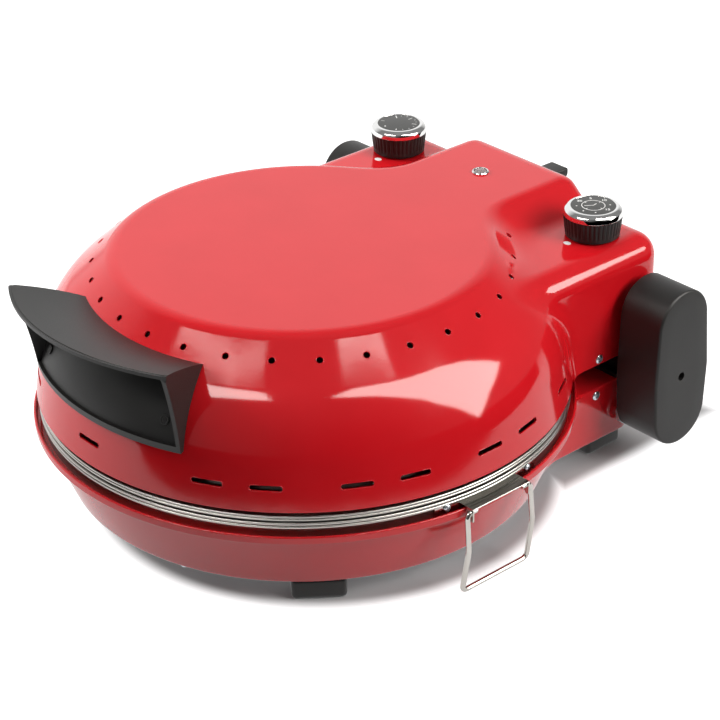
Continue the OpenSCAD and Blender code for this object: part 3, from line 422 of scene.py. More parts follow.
def lathe(name, corners, around=256, sharp=35, stand=Matrix()):
    """Turns a closed outline of (radius, height, rounding) corners round an upright axis."""
    angles = full_turn(around)
    rings = [np.stack([r * np.cos(angles), r * np.sin(angles), np.full(around, z)], 1)
             for r, z in soften(corners)]
    mesh = close_rings(name, rings, sharp=sharp)
    mesh.transform(stand)
    return mesh


ledge_under = ledge_top - sheet
link_piece("rim", lathe("rim", [
    (ledge_inner, ledge_top, 0.3), (rim_radius - rim_wall, ledge_top, 1.0),
    (rim_radius - rim_wall, rim_top, 0.8), (rim_radius, rim_top, 0.9),
    (rim_radius, ledge_under, 1.5), (bowl_top[0] - 0.3, ledge_under, 0.4),
    (bowl_top[0] - 0.9, ledge_under - 1.8, 0.3), (bowl_top[0] - 2.2, ledge_under - 1.8, 0.3),
    (bowl_top[0] - 2.2, ledge_under, 0.3), (ledge_inner, ledge_under, 0.3)], 360),
    "base", red_enamel)

# ---------------------------------------------------------------- low box cover
# Enamelled sheet cover on the low box, with its edge folded down over the walls. Its front is cut
# round to meet the bowl's ledge, and it is welded on before enamelling.
cover_corner = 6.5
cover_fold = 54.4


def thicken(work, outline, along):
    """Adds a plate to a worked mesh: an outline of points, swept along a direction."""
    face = work.faces.new([work.verts.new(point) for point in outline])
    made = bmesh.ops.extrude_face_region(work, geom=[face])
    moved = [g for g in made["geom"] if isinstance(g, bmesh.types.BMVert)]
    bmesh.ops.translate(work, verts=moved, vec=along)


def slab(name, outline, low, high, edge):
    """A plate of the given outline between two heights, with its top edge rounded."""
    work = bmesh.new()
    thicken(work, [(x, y, low) for x, y in outline], (0, 0, high - low))
    bmesh.ops.recalc_face_normals(work, faces=work.faces)
    flat = [e for e in work.edges if min(v.co.z for v in e.verts) > high - 1e-6]
    bmesh.ops.bevel(work, geom=flat, offset=edge, segments=3, profile=0.5, affect="EDGES",
                    clamp_overlap=True)
    return done_mesh(work, name, 35)


front_half = math.asin(box_half / ledge_inner) - 0.002
front_arc = [(ledge_inner * math.sin(a), ledge_inner * math.cos(a))
             for a in np.linspace(front_half, -front_half, 60)]
cover_half = box_half + 0.25
cover_outline = soften([(-cover_half, front_arc[-1][1], 0), (-cover_half, low_box_rear, cover_corner),
                        (cover_half, low_box_rear, cover_corner), (cover_half, front_arc[0][1], 0)])
link_piece("low_box_cover",
           slab("low_box_cover", cover_outline + front_arc, cover_fold, ledge_top + 0.1, 1.3),
           "base", red_enamel)

# ---------------------------------------------------------------- bottom plate and feet
# Galvanised sheet with cooling slots, screwed under the bowl with plated pan-head screws. Four
# moulded plastic feet stand under it, the front pair set round with the bowl.
steel_sheet, tree, shader = nodes_of("steel_sheet", {"Metallic": 1, "Roughness": 0.38})
spangle = node_in(tree, "ShaderNodeTexVoronoi", {"Scale": 110, "Vector": on_piece(tree)})
tint_by(tree, shader, spangle["Color"], (0.42, 0.43, 0.44), (0.6, 0.61, 0.62))


def dress(paint, *names):
    """Gives CAD nodes that are shown as they are their finish."""
    for name in names:
        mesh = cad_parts[name].data
        mesh.materials.clear()
        mesh.materials.append(paint)


dress(steel_sheet, "base_bottom_plate", "upper_box_floor", "base_hinge_arm_right", "base_hinge_arm_left",
      "lid_hinge_arm_right", "lid_hinge_arm_left", "lower_element_clips", "upper_element_clips")

zinc_steel, tree, shader = nodes_of("zinc_steel", {"Metallic": 1})
plating = noise_in(tree, 500)
tint_by(tree, shader, plating, (0.50, 0.56, 0.62), (0.74, 0.77, 0.80))
gloss_by(tree, shader, plating, 0.2, 0.36)
dress(zinc_steel, "bottom_plate_screws")


def round_body(degrees):
    """A turn about the upright axis of the oven's round body, or of a piece before it is placed."""
    return Matrix.Rotation(math.radians(degrees), 4, "Z")


def cut(mesh, tool):
    """Cuts the tool mesh out of a mesh and returns the result."""
    base = bpy.data.objects.new("cut_base", mesh)
    knife = bpy.data.objects.new("cut_knife", tool)
    scene.collection.objects.link(base)
    scene.collection.objects.link(knife)
    bite = base.modifiers.new("bite", "BOOLEAN")
    bite.operation = "DIFFERENCE"
    bite.solver = "EXACT"
    bite.object = knife
    bpy.context.view_layer.update()
    graph = bpy.context.evaluated_depsgraph_get()
    done = bpy.data.meshes.new_from_object(base.evaluated_get(graph))
    bpy.data.objects.remove(base)
    bpy.data.objects.remove(knife)
    return done


def pan_screws(name, body, node, head, shank, spots):
    """Cross-recessed pan-head screws: spots are (place, outward direction, turn of the recess)."""
    crown = 1.5
    thread = 1.5
    profile = soften([(0, crown, 0), (head * 0.62, crown - 0.05, 1.2), (head, crown / 2, 0.5),
                      (head, 0, 0.15), (thread, 0, 0), (thread, -shank, 0.4), (0, -shank, 0)], 20)
    work = bmesh.new()
    skin(work, [[(r * math.cos(t), r * math.sin(t), z) for t in full_turn(32)] for r, z in profile])
    bmesh.ops.remove_doubles(work, verts=work.verts, dist=0.001)
    bmesh.ops.recalc_face_normals(work, faces=work.faces)
    one = done_mesh(work, name)
    for across in (0, 90):
        work = bmesh.new()
        bmesh.ops.create_cube(work, size=1)
        recess = done_mesh(work, "recess")
        recess.transform(round_body(across) @ Matrix.Translation((0, 0, crown))
                         @ Matrix.Diagonal((head * 1.15, head * 0.27, 1.8, 1)))
        one = cut(one, recess)
    work = bmesh.new()
    for at, outward, turn in spots:
        copy = one.copy()
        stand = Vector(outward).to_track_quat("Z", "Y").to_matrix().to_4x4()
        copy.transform(Matrix.Translation(at) @ stand @ round_body(turn))
        work.from_mesh(copy)
    piece = link_piece(name, done_mesh(work, name, 40), body, zinc_steel)
    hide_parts(node)


black_plastic, tree, shader = nodes_of("black_plastic", {"Specular IOR Level": 0.38})
grain = noise_in(tree, 1400, 4)
tint_by(tree, shader, noise_in(tree, 30),
        (0.008, 0.0076, 0.0072), (0.015, 0.0143, 0.0135))
gloss_by(tree, shader, grain, 0.36, 0.5)
relief_by(tree, shader, grain, 0.25, 0.0002)


def rounded_box(name, size, edge):
    """A block from its middle foot, all edges rounded."""
    work = bmesh.new()
    bmesh.ops.create_cube(work, size=1)
    bmesh.ops.scale(work, vec=size, verts=work.verts)
    bmesh.ops.translate(work, vec=(0, 0, size[2] / 2), verts=work.verts)
    bmesh.ops.bevel(work, geom=work.edges[:], offset=edge, segments=4, profile=0.5, affect="EDGES")
    return done_mesh(work, name, 35)


sides = ((1, "right"), (-1, "left"))
front_foot_turn = 52.2
for side, name in sides:
    mesh = rounded_box("front_foot", (35, 17, 15), 3.2)
    mesh.transform(round_body(side * front_foot_turn) @ Matrix.Translation((0, -148.5, 0)))
    foot = link_piece("front_foot_" + name + "_moulded", mesh, "base", black_plastic)
    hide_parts("front_foot_" + name)
    mesh = rounded_box("rear_foot", (20, 32, 16.2), 3.2)
    mesh.transform(Matrix.Translation((side * 110, 166, 0)))
    foot = link_piece("rear_foot_" + name + "_moulded", mesh, "base", black_plastic)
    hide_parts("rear_foot_" + name)
dress(black_plastic, "cord_gland")

# ---------------------------------------------------------------- reflectors and elements
# Spun steel pans above and below the stone, and looped tube heaters with a steel sheath, held by
# clips. The upper pan's skirt shows under the lid's edge as a band with two rolled beads.
rolled_steel, tree, shader = nodes_of("rolled_steel", {"Metallic": 1, "Roughness": 0.28})
place = on_piece(tree)
from_axis = vectors(tree, "LENGTH", vectors(tree, "MULTIPLY", place, (1, 1, 0))[0])["Value"]
height = node_in(tree, "ShaderNodeSeparateXYZ", {"Vector": place})["Z"]
across = node_in(tree, "ShaderNodeCombineXYZ", {"X": from_axis, "Y": height})["Vector"]
lines = noise_in(tree, 2500, 3, where=across)
tint_by(tree, shader, lines, (0.46, 0.45, 0.42), (0.64, 0.625, 0.59))
relief_by(tree, shader, lines, 0.08, 0.0001)

heater_sheath, tree, shader = nodes_of("heater_sheath", {"Metallic": 0.6, "Roughness": 0.5})
tint_by(tree, shader, noise_in(tree, 90), (0.05, 0.045, 0.04), (0.14, 0.12, 0.10))
dress(rolled_steel, "lower_reflector")
dress(heater_sheath, "lower_element", "upper_element")

upper_pan = link_piece("upper_pan", lathe("upper_pan", [
    (0.0, 117.5, 0), (145.2, 117.5, 3), (158.5, 90.5, 3), (163.0, 84.0, 2), (172.8, 82.6, 0.5),
    (172.8, 74.2, 0.3), (176.2, 73.8, 0.7), (176.2, 72.4, 0.7), (175.0, 72.3, 0), (175.0, 72.0, 0),
    (176.2, 71.9, 0.7), (176.2, 70.5, 0.7), (175.0, 70.4, 0), (171.2, 70.4, 0.1), (171.2, 71.2, 0.1),
    (172.1, 71.6, 0.2), (172.1, 81.8, 0.5), (162.5, 83.2, 2), (157.8, 90.1, 3), (144.8, 116.7, 3),
    (0.0, 116.7, 0)], 360, 50),
    "lid", rolled_steel)
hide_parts("upper_reflector")

# ---------------------------------------------------------------- stone tray and stone
# Spun stainless tray with a beaded lip that rests on the bowl's ledge, and a pressed cordierite
# baking stone that lies loose in it.
tray = link_piece("tray", lathe("tray", [
    (174.4, 57.2, 0), (175.2, 57.2, 0), (175.2, 64.9, 0.2), (176.7, 65.0, 0.9), (176.7, 66.9, 0.9),
    (175.3, 67.0, 0), (175.3, 67.4, 0), (176.7, 67.5, 0.8), (176.7, 69.2, 0.8), (170.0, 69.9, 0.6),
    (159.7, 71.3, 0.4), (159.7, 60.0, 0.4), (149.7, 60.0, 0), (149.7, 59.2, 0), (160.5, 59.2, 1),
    (160.5, 70.4, 0.5), (170.0, 69.1, 0.6), (174.4, 68.5, 0.3)], 360, 50),
    "base", rolled_steel)
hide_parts("stone_tray")

stone_ware, tree, shader = nodes_of("stone_ware", {"Roughness": 0.85})
specks = noise_in(tree, 420, 6, 0.7)
tint_by(tree, shader, specks, (0.42, 0.33, 0.22), (0.66, 0.56, 0.42), (0.35, 0.6))
relief_by(tree, shader, specks, 0.5, 0.0004)
dress(stone_ware, "baking_stone")

# ---------------------------------------------------------------- bail brackets
# Nickelled strip screwed to the tray's wall, folded out over the rim, with two ears that
# hold the ends of a wire bail.
bright_metal, tree, shader = nodes_of("bright_metal", {"Metallic": 1})
cloud = noise_in(tree, 60)
tint_by(tree, shader, cloud, (0.52, 0.50, 0.46), (0.66, 0.64, 0.60))
gloss_by(tree, shader, cloud, 0.12, 0.2)
bracket_top = 63.9
bracket_reach = 186.1
bracket_gauge = 1
strip_inner = 175.3
strip_outer = 176.7
strip_foot = 57.8
strip_half = 43
ear_at = 23.5


def even_shade(mesh, sharp):
    """Shades each corner by the slopes of the faces that meet smoothly there, the large ones leading."""
    mesh.shade_smooth()
    limit = math.cos(math.radians(sharp))
    at = [[] for _ in mesh.vertices]
    for face in mesh.polygons:
        for v in face.vertices:
            at[v].append((face.normal, face.area))
    normals = []
    for face in mesh.polygons:
        for v in face.vertices:
            total = sum((n * a for n, a in at[v] if n.dot(face.normal) > limit), Vector())
            normals.append(total.normalized() if total.length > 0 else face.normal)
    mesh.normals_split_custom_set(normals)


def merge(name, parts, edge=0.0):
    """One mesh of plates with eased edges, each given as (outline, where it stands, thickness)."""
    work = bmesh.new()
    for outline, stand, thickness in parts:
        one = bmesh.new()
        thicken(one, [(x, y, 0) for x, y in outline], (0, 0, thickness))
        bmesh.ops.recalc_face_normals(one, faces=one.faces)
        if edge:
            corners = [e for e in one.edges if e.calc_face_angle(0) > math.radians(35)]
            bmesh.ops.bevel(one, geom=corners, offset=edge, segments=2, profile=0.5, affect="EDGES",
                            clamp_overlap=True)
        plate = done_mesh(one, name)
        plate.transform(stand)
        work.from_mesh(plate)
    mesh = done_mesh(work, name)
    even_shade(mesh, 50)
    return mesh


def arc(radius, half):
    """Points (x, y) on a circle about the body axis, centred on +X."""
    return [(radius * math.cos(t), radius * math.sin(t)) for t in np.linspace(-half, half, 13)]


for side, name in sides:
    strip = math.asin(strip_half / strip_outer)
    under = math.asin((ear_at + bracket_gauge) / strip_inner)
    tongue = [(x, y, 0) for x, y in arc(strip_inner, under)[::-1]]
    tongue += [(bracket_reach, -ear_at - bracket_gauge, 0.8), (bracket_reach, ear_at + bracket_gauge, 0.8)]
    parts = [(arc(strip_inner, strip)[::-1] + arc(strip_outer, strip),
              Matrix.Translation((0, 0, strip_foot)), 8.8),
             (soften(tongue), Matrix.Translation((0, 0, bracket_top - bracket_gauge)), bracket_gauge)]
    ear = soften([(180, bracket_top - 0.4, 0), (bracket_reach, bracket_top - 0.4, 0.4),
                  (bracket_reach, bracket_top - 9.6, 1.2), (bracket_reach - 2.6, bracket_top - 9.6, 0.8),
                  (180, bracket_top - 4.4, 0.3)])
    stand = Matrix(((1, 0, 0, 0), (0, 0, 1, 0), (0, 1, 0, 0), (0, 0, 0, 1)))
    for y in (ear_at, -ear_at - bracket_gauge):
        parts.append((ear, Matrix.Translation((0, y, 0)) @ stand, bracket_gauge))
    mesh = merge("bracket", parts, 0.22)
    mesh.transform(Matrix.Scale(side, 4, (1, 0, 0)))
    if side < 0:
        mesh.flip_normals()
    bracket = link_piece("bail_bracket_" + name + "_folded", mesh, "base", bright_metal)
    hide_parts("bail_bracket_" + name)
tab = math.radians(11.3)
outward = [(s * math.cos(tab), t * math.sin(tab), 0) for s in (1, -1) for t in (1, -1)]
pan_screws("bracket_screws", "base", "bail_bracket_screws", 2.6, 5,
           [(Vector(way) * strip_outer + Vector((0, 0, bracket_top)), way, 20) for way in outward])

# ---------------------------------------------------------------- bails
# Two lifting bails of nickelled steel wire. Each is bent to shape, its ends are sprung into the
# bracket's ears, and it hangs freely.
wire_radius = 1.75
wire_bend = 4.0
bail_pivot = (183.5, 60.8)
bail_drop = 57.4


def bend_path(points, bend, step=10):
    """A polyline through 3-D points with each inner corner rounded to the bend radius."""
    points = [Vector(p) for p in points]
    path = [points[0]]
    for before, here, after in zip(points, points[1:], points[2:]):
        a, b = (before - here).normalized(), (after - here).normalized()
        inner = a.angle(b)
        cut = min(bend / math.tan(inner / 2), (before - here).length * 0.48, (after - here).length * 0.48)
        radius = cut * math.tan(inner / 2)
        centre = here + (a + b).normalized() * (radius / math.sin(inner / 2))
        first, last = here + a * cut - centre, here + b * cut - centre
        steps = max(2, math.ceil(math.degrees(math.pi - inner) / step))
        for k in range(steps + 1):
            path.append(centre + first.slerp(last, k / steps) * radius)
    path.append(points[-1])
    return path


def close_ends(work, loops):
    """Shuts a skin's first and last loop with a flat face each."""
    work.faces.new(loops[0][::-1])
    work.faces.new(loops[-1])
    bmesh.ops.recalc_face_normals(work, faces=work.faces)


def tube(path, radius, around, looped=False):
    """Rings of points round a path, which may loop back to its start."""
    rings = []
    for i, p in enumerate(path):
        ahead, behind = (i + 1) % len(path), i - 1
        if not looped:
            ahead, behind = min(i + 1, len(path) - 1), max(i - 1, 0)
        run = (path[ahead] - path[behind]).normalized()
        side = run.orthogonal().normalized() if i == 0 else (side - run * side.dot(run)).normalized()
        other = run.cross(side)
        rings.append([p + (side * math.cos(t) + other * math.sin(t)) * radius for t in full_turn(around)])
    return rings


def wire(name, path, radius):
    """A round wire along a path, with flat ends."""
    work = bmesh.new()
    close_ends(work, skin(work, tube(path, radius, 16)))
    return done_mesh(work, name, 50)


for side, name in sides:
    px, pz = bail_pivot
    leg = [(px, ear_at - 4, pz), (px, ear_at + 3.5, pz), (px + 2.4, ear_at + 4.1, pz - 0.45 * bail_drop),
           (px - 2.5, ear_at + 4.8, pz - bail_drop)]
    corners = leg + [(x, -y, z) for x, y, z in reversed(leg)]
    path = bend_path([(side * x, y, z) for x, y, z in corners], wire_bend)
    piece = link_piece("bail_" + name + "_wire", wire("bail", path, wire_radius), "bail_" + name,
                       bright_metal)
    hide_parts("bail_" + name)

# ---------------------------------------------------------------- hinge
# A steel rod runs right through the arms of the base and the lid. Its ends sit in two hollow
# moulded covers beside the box, and a screw through each cover's hole holds it on the rod.
hinge = (184.6, 70.0)
cover_near = 133.5
cover_far = 169.0
cover_wall = 2.5
cover_edge = 1.8
screw_hole = 3.0
screw_boss = 8.5
boss_depth = 14.0
dress(steel_sheet, "hinge_rod")
dress(black_plastic, "hinge_guards")


def hinge_circle(x, radius):
    """A circle of points about the hinge line."""
    return np.array([(x, hinge[0] + radius * math.cos(t), hinge[1] + radius * math.sin(t))
                     for t in full_turn(90)])


def cover_ring(x, inset):
    """The cover's outline: its circles (y, z, radius), inset, joined by straight tangents."""
    ring = []
    for t in full_turn(90):
        c, s = math.cos(t), math.sin(t)
        y, z, radius = max(cover_circles, key=lambda circle: circle[0] * c + circle[1] * s + circle[2])
        ring.append((x, y + (radius - inset) * c, z + (radius - inset) * s))
    return np.array(ring)


cover_circles = [(184.6, 109.7, 23.5), (185.6, 70.0, 26.0), (185.6, 43.3, 24.6)]
cover_rows = [(cover_near, 0.6), (cover_near + 0.6, 0.0)]
cover_rows += [(cover_far - cover_edge + cover_edge * math.sin(t), cover_edge - cover_edge * math.cos(t))
               for t in np.radians(range(0, 91, 15))]
cover_rows += [(cover_far, 12.0), (cover_far, 19.0)]
for side, name in sides:
    rings = [cover_ring(side * x, inset) for x, inset in cover_rows]
    rings.append(hinge_circle(side * cover_far, screw_hole))
    rings.append(hinge_circle(side * (cover_far - boss_depth), screw_hole))
    rings.append(hinge_circle(side * (cover_far - boss_depth), screw_boss))
    rings.append(hinge_circle(side * (cover_far - cover_wall), screw_boss))
    rings.append(cover_ring(side * (cover_far - cover_wall), cover_wall))
    rings.append(cover_ring(side * cover_near, cover_wall))
    cover = link_piece("cover_" + name + "_moulded", close_rings("cover", rings), "base",
                       black_plastic)
    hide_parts("arm_cover_" + name)
pan_screws("cover_screws", "base", "arm_cover_screws", 2.8, 10,
           [((s * (cover_far - boss_depth - 0.75), *hinge), (s, 0, 0), 30) for s in (1, -1)])
pan_screws("base_box_screws", "base", "base_side_screws", 3.2, 5,
           [((s * box_half, 148.0, 51.8), (s, 0, 0), 35) for s in (1, -1)])

# ---------------------------------------------------------------- lid
# One deep-drawn and welded steel shell, stove-enamelled: flat-topped dome with a band of vent
# holes, slots round its flank, the control box behind it and the tongue that joins their tops.
lid_edge = 77.5
lid_top = 170.5
plateau_radius = 123.6
band_slope = math.radians(41)
flank_lean = math.radians(8.5)
shoulder_corner = (169.8, 130.3)
shoulder_height = 153.0
plateau_round = 14.0
shoulder_round = 70.0
box_floor = 75.0
box_rear = 211.0
box_round = 17.0
box_valley = 7.0
tongue_half = 45.5
tongue_valley = 28.0
lid_edge_radius = 177.7
knob_axes = {"thermostat": (-95.3, 172.2), "timer": (95.3, 172.2)}


def dome_field(r, z):
    """Distance to the dome's outline: flat top, sloping band and leaning flank, joined by two arcs."""
    band = np.array((math.sin(band_slope), math.cos(band_slope)))
    flank = np.array((math.cos(flank_lean), math.sin(flank_lean)))
    top_line = z - lid_top
    band_line = (r - plateau_radius) * band[0] + (z - lid_top) * band[1]
    flank_line = (r - lid_edge_radius) * flank[0] + (z - lid_edge) * flank[1]
    distance = np.maximum(np.maximum(top_line, band_line), flank_line)
    corner = np.array((plateau_radius, lid_top))
    for a, b, radius, at in (((0.0, 1.0), band, plateau_round, corner),
                             (band, flank, shoulder_round, np.array(shoulder_corner))):
        a, b = np.array(a), np.array(b)
        centre = at - radius * (a + b) / (1 + a @ b)
        dr, dz = r - centre[0], z - centre[1]
        in_sector = (a[1] * dr - a[0] * dz >= 0) & (b[0] * dz - b[1] * dr >= 0)
        distance = np.where(in_sector, np.hypot(dr, dz) - radius, distance)
    return distance


def lid_field(p):
    x, y, z = p[..., 0], p[..., 1], p[..., 2]
    r = np.hypot(x, y)
    strip = np.where(y > 0, np.abs(x) + plateau_radius - tongue_half, 400.0)
    upper = dome_field(soft_min(r, strip, tongue_valley), z)
    box = round_max(np.abs(x) - box_half, z - shoulder_height, box_round)
    box = np.maximum(box, -y)
    return round_max(soft_min(upper, box, box_valley), y - box_rear, box_round)


lid_rises = np.concatenate([np.arange(1.2, 46, 0.3), np.arange(47, 88, 4)])
lid_rings = []
for level in (0.0, -sheet):
    foot = cast(lid_field, level, box_floor, 0)
    edge_ring = cast(lid_field, level, lid_edge, 0)
    on_dome = (foot[:, 1] < 121) | ((np.abs(foot[:, 0]) < box_half - 1.5) & (foot[:, 1] < 150))
    foot = np.where(on_dome[:, None], edge_ring, foot)
    rises = lid_rises if level == 0 else lid_rises[::4]
    face = [foot, edge_ring] + [cast(lid_field, level, box_floor, rise) for rise in rises]
    face.append(np.tile((0, 0, lid_top + level), (len(spokes), 1)))
    lid_rings += face if level == 0 else face[::-1]
lid_mesh = close_rings("lid", lid_rings)

vent_turns = [side * 12 * (i + 0.5) for i in range(13) for side in (1, -1)]
vent_spot = (0, -137, 158.9)
vent_radius = 2.2
slot_turns = [0] + [side * turn for turn in (30, 42, 60, 72, 90, 102, 120) for side in (1, -1)]
slot_height = 92.8
slot_half = (10.2, 1.85)


def slot_outline(grow):
    """A slot with round ends, grown on all sides, about its own middle."""
    x, z = slot_half[0] + grow, slot_half[1] + grow
    return soften([(-x, -z, z - 0.01), (x, -z, z - 0.01), (x, z, z - 0.01), (-x, z, z - 0.01)], 20)


cutters = bmesh.new()
for degrees in vent_turns:
    hole = round_body(degrees) @ Matrix.Translation(vent_spot) @ Matrix.Rotation(band_slope, 4, "X")
    bmesh.ops.create_cone(cutters, cap_ends=True, segments=20, radius1=vent_radius, radius2=vent_radius,
                          depth=12, matrix=hole)
for degrees in slot_turns:
    turn = round_body(degrees)
    thicken(cutters, [turn @ Vector((x, -186, slot_height + z)) for x, z in slot_outline(0)],
            turn @ Vector((0, 20, 0)))
for x, y in knob_axes.values():
    bmesh.ops.create_cone(cutters, cap_ends=True, segments=32, radius1=4, radius2=4, depth=8,
                          matrix=Matrix.Translation((x, y, shoulder_height)))
bmesh.ops.recalc_face_normals(cutters, faces=cutters.faces)
lid_mesh = cut(lid_mesh, done_mesh(cutters, "lid_cutters"))


def true_normals(mesh, field):
    """Shades a mesh by its field's own slope wherever a face lies along it."""
    count = len(mesh.vertices)
    points = np.empty(count * 3)
    mesh.vertices.foreach_get("co", points)
    points = points.reshape(-1, 3)
    slope = np.stack([field(points + s) - field(points - s) for s in np.eye(3) * 0.05], 1)
    slope /= np.linalg.norm(slope, axis=1)[:, None] + 1e-12
    loops = len(mesh.loops)
    corner = np.empty(loops, int)
    mesh.loops.foreach_get("vertex_index", corner)
    flat = np.empty(len(mesh.polygons) * 3)
    mesh.polygons.foreach_get("normal", flat)
    sizes = np.empty(len(mesh.polygons), int)
    mesh.polygons.foreach_get("loop_total", sizes)
    face = np.repeat(flat.reshape(-1, 3), sizes, axis=0)
    wanted = slope[corner]
    agree = np.sum(wanted * face, 1)
    wanted = np.where((agree < 0)[:, None], -wanted, wanted)
    wanted = np.where((np.abs(agree) < 0.8)[:, None], face, wanted)
    mesh.normals_split_custom_set(wanted.tolist())


lid_mesh.shade_smooth()
true_normals(lid_mesh, lid_field)
lid = link_piece("lid", lid_mesh, "lid", red_enamel)
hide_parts("lid_shell")

# The vents' edges are turned out a little when they are punched, which leaves a fine lip.
lip_proud = 0.1


def add_lip(path, radius):
    """Adds a thin closed tube along a vent's edge."""
    lips.from_mesh(close_rings("lip", tube(path, radius, 8, looped=True), sharp=60))


lips = bmesh.new()
for degrees in vent_turns:
    stand = round_body(degrees) @ Matrix.Translation(vent_spot) @ Matrix.Rotation(band_slope, 4, "X")
    reach = vent_radius + lip_proud
    add_lip([stand @ Vector((reach * math.cos(t), reach * math.sin(t), -0.11))
             for t in full_turn(24)], 0.28)
for degrees in slot_turns:
    turn = round_body(degrees)
    path = []
    for x, z in slot_outline(lip_proud):
        height = slot_height + z
        reach = lid_edge_radius - (height - lid_edge) * math.tan(flank_lean) - 0.08
        path.append(turn @ Vector((x, -math.sqrt(reach ** 2 - x ** 2), height)))
    add_lip(path, 0.26)
lip_mesh = done_mesh(lips, "vent_lips")
lip_mesh.shade_smooth()
link_piece("vent_lips", lip_mesh, "lid", red_enamel)
pan_screws("box_screws", "lid", "lid_side_screws", 3.2, 5,
           [((s * box_half, 149.6, 79.3), (s, 0, 0), 20) for s in (1, -1)])

# ---------------------------------------------------------------- handle
# Moulded phenolic handle, hollow and open to the front, its back shaped to the lid. Two screws
# through the back wall hold it, each under a round plug.
handle_angle = math.radians(25)
handle_edge_radius = 143.0
handle_reach = 197.5
handle_corner = (0.96, 1.6)
handle_root = (142.5, 154.0)
handle_foot = 110.0
handle_brow = 165.5
handle_lip = 4.5
handle_wall = 2.8
handle_gap = 0.3
top_slope = math.radians(19)
top_crown = 5.0
side_edge = (176.468, 6.578, 5.921, 0.47)


def outline_radius(z, gap):
    """Radius at which the dome's outline, stood off by a gap, passes a height."""
    near, far = 100.0, 210.0
    for _ in range(40):
        middle = (near + far) / 2
        near, far = (middle, far) if dome_field(np.array(middle), z) < gap else (near, middle)
    return near


def front_radius(angle):
    """Reach of the top plate's front edge, which runs on a flatter arc than the lid's."""
    ahead = (handle_reach - handle_edge_radius) * math.cos(angle)
    aside = (handle_reach - handle_edge_radius) * math.sin(angle)
    begins, rounding = handle_corner
    pulled_in = rounding * (max(0.0, abs(angle) / handle_angle - begins) / (1 - begins)) ** 2
    return ahead + math.sqrt(handle_edge_radius ** 2 - aside ** 2) - pulled_in


def plate_height(r):
    return handle_root[1] + (r - handle_root[0]) * math.tan(top_slope)


def side_reach(z):
    """Reach of the side walls' front edges, which sweep forward as they rise."""
    rise = (z - handle_foot) / (handle_brow - handle_foot)
    return sum(share * rise ** power for power, share in enumerate(side_edge))


def handle_outside(angle):
    reach = front_radius(angle)
    points = [(handle_root[0] + 0.2, handle_root[1])]
    for u in np.linspace(0.08, 1, 11)[:-1]:
        r = handle_root[0] + u * (reach - 2.4 - handle_root[0])
        points.append((r, plate_height(r) + top_crown * u * (1 - u)))
    points += [(reach - 2.3, plate_height(reach - 2.3) + 0.1),
               (reach - 1.95, plate_height(reach - 1.95) - 0.35),
               (reach, plate_height(reach) - 0.5), (reach - 0.5, plate_height(reach) - 3.4)]
    points += [(side_reach(z), float(z)) for z in np.linspace(handle_brow, handle_foot, 12)]
    return points + [(outline_radius(z, handle_gap), float(z)) for z in np.linspace(handle_foot, 152.0, 14)]


def handle_inside(angle):
    front = front_radius(angle) + 9
    under = -handle_wall / math.cos(top_slope)
    floor_z = handle_foot + handle_lip
    points = [(149.0, plate_height(149.0) + under), (front, plate_height(front) + under), (front, floor_z)]
    return points + [(outline_radius(z, handle_gap + handle_wall), float(z))
                     for z in np.linspace(floor_z, 150.5, 14)]


def sector(name, section, half):
    """A solid swept round the body axis from -half to +half, its section changing with the angle."""
    work = bmesh.new()
    close_ends(work, skin(work, [[(r * math.sin(a), -r * math.cos(a), z) for r, z in section(a)]
                                 for a in half * np.sin(np.linspace(-math.pi / 2, math.pi / 2, 45))]))
    return done_mesh(work, name)


handle_mesh = cut(sector("handle", handle_outside, handle_angle),
                  sector("handle_hollow", handle_inside, handle_angle - handle_wall / 180))
work = bmesh.new()
work.from_mesh(handle_mesh)
bmesh.ops.remove_doubles(work, verts=work.verts, dist=0.01)
bmesh.ops.dissolve_limit(work, angle_limit=math.radians(0.2), verts=work.verts, edges=work.edges,
                         delimit={"SHARP"})
crease = [e for e in work.edges if len(e.link_faces) == 2 and e.calc_face_angle(0) > math.radians(50)]
bmesh.ops.bevel(work, geom=crease, offset=0.7, segments=3, profile=0.5, affect="EDGES", clamp_overlap=True)
work.to_mesh(handle_mesh)
work.free()
even_shade(handle_mesh, 40)
handle = link_piece("handle", handle_mesh, "lid", black_plastic)
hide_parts("lid_handle")

plug_z = 127.0
plug_turn = 20.5
lean = math.atan2(outline_radius(plug_z - 1, 0) - outline_radius(plug_z + 1, 0), 2)
plugs = bmesh.new()
plug_reach = outline_radius(plug_z, handle_gap + handle_wall)
for turn in (-plug_turn, plug_turn):
    stand = round_body(turn) @ Matrix.Translation((0, -plug_reach, plug_z))
    plugs.from_mesh(lathe("plug", [
        (0, -1.5, 0), (0, 1.0, 0), (1.4, 1.0, 0.1), (1.6, 0.75, 0.1), (2.0, 0.75, 0.1), (2.2, 1.0, 0.1),
        (3.1, 1.0, 0.4), (3.1, -1.5, 0)], 40, stand=stand @ Matrix.Rotation(math.pi / 2 - lean, 4, "X")))
handle_plugs = link_piece("handle_plugs", done_mesh(plugs, "handle_plugs", 35), "lid",
                          black_plastic)
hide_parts("handle_screws")

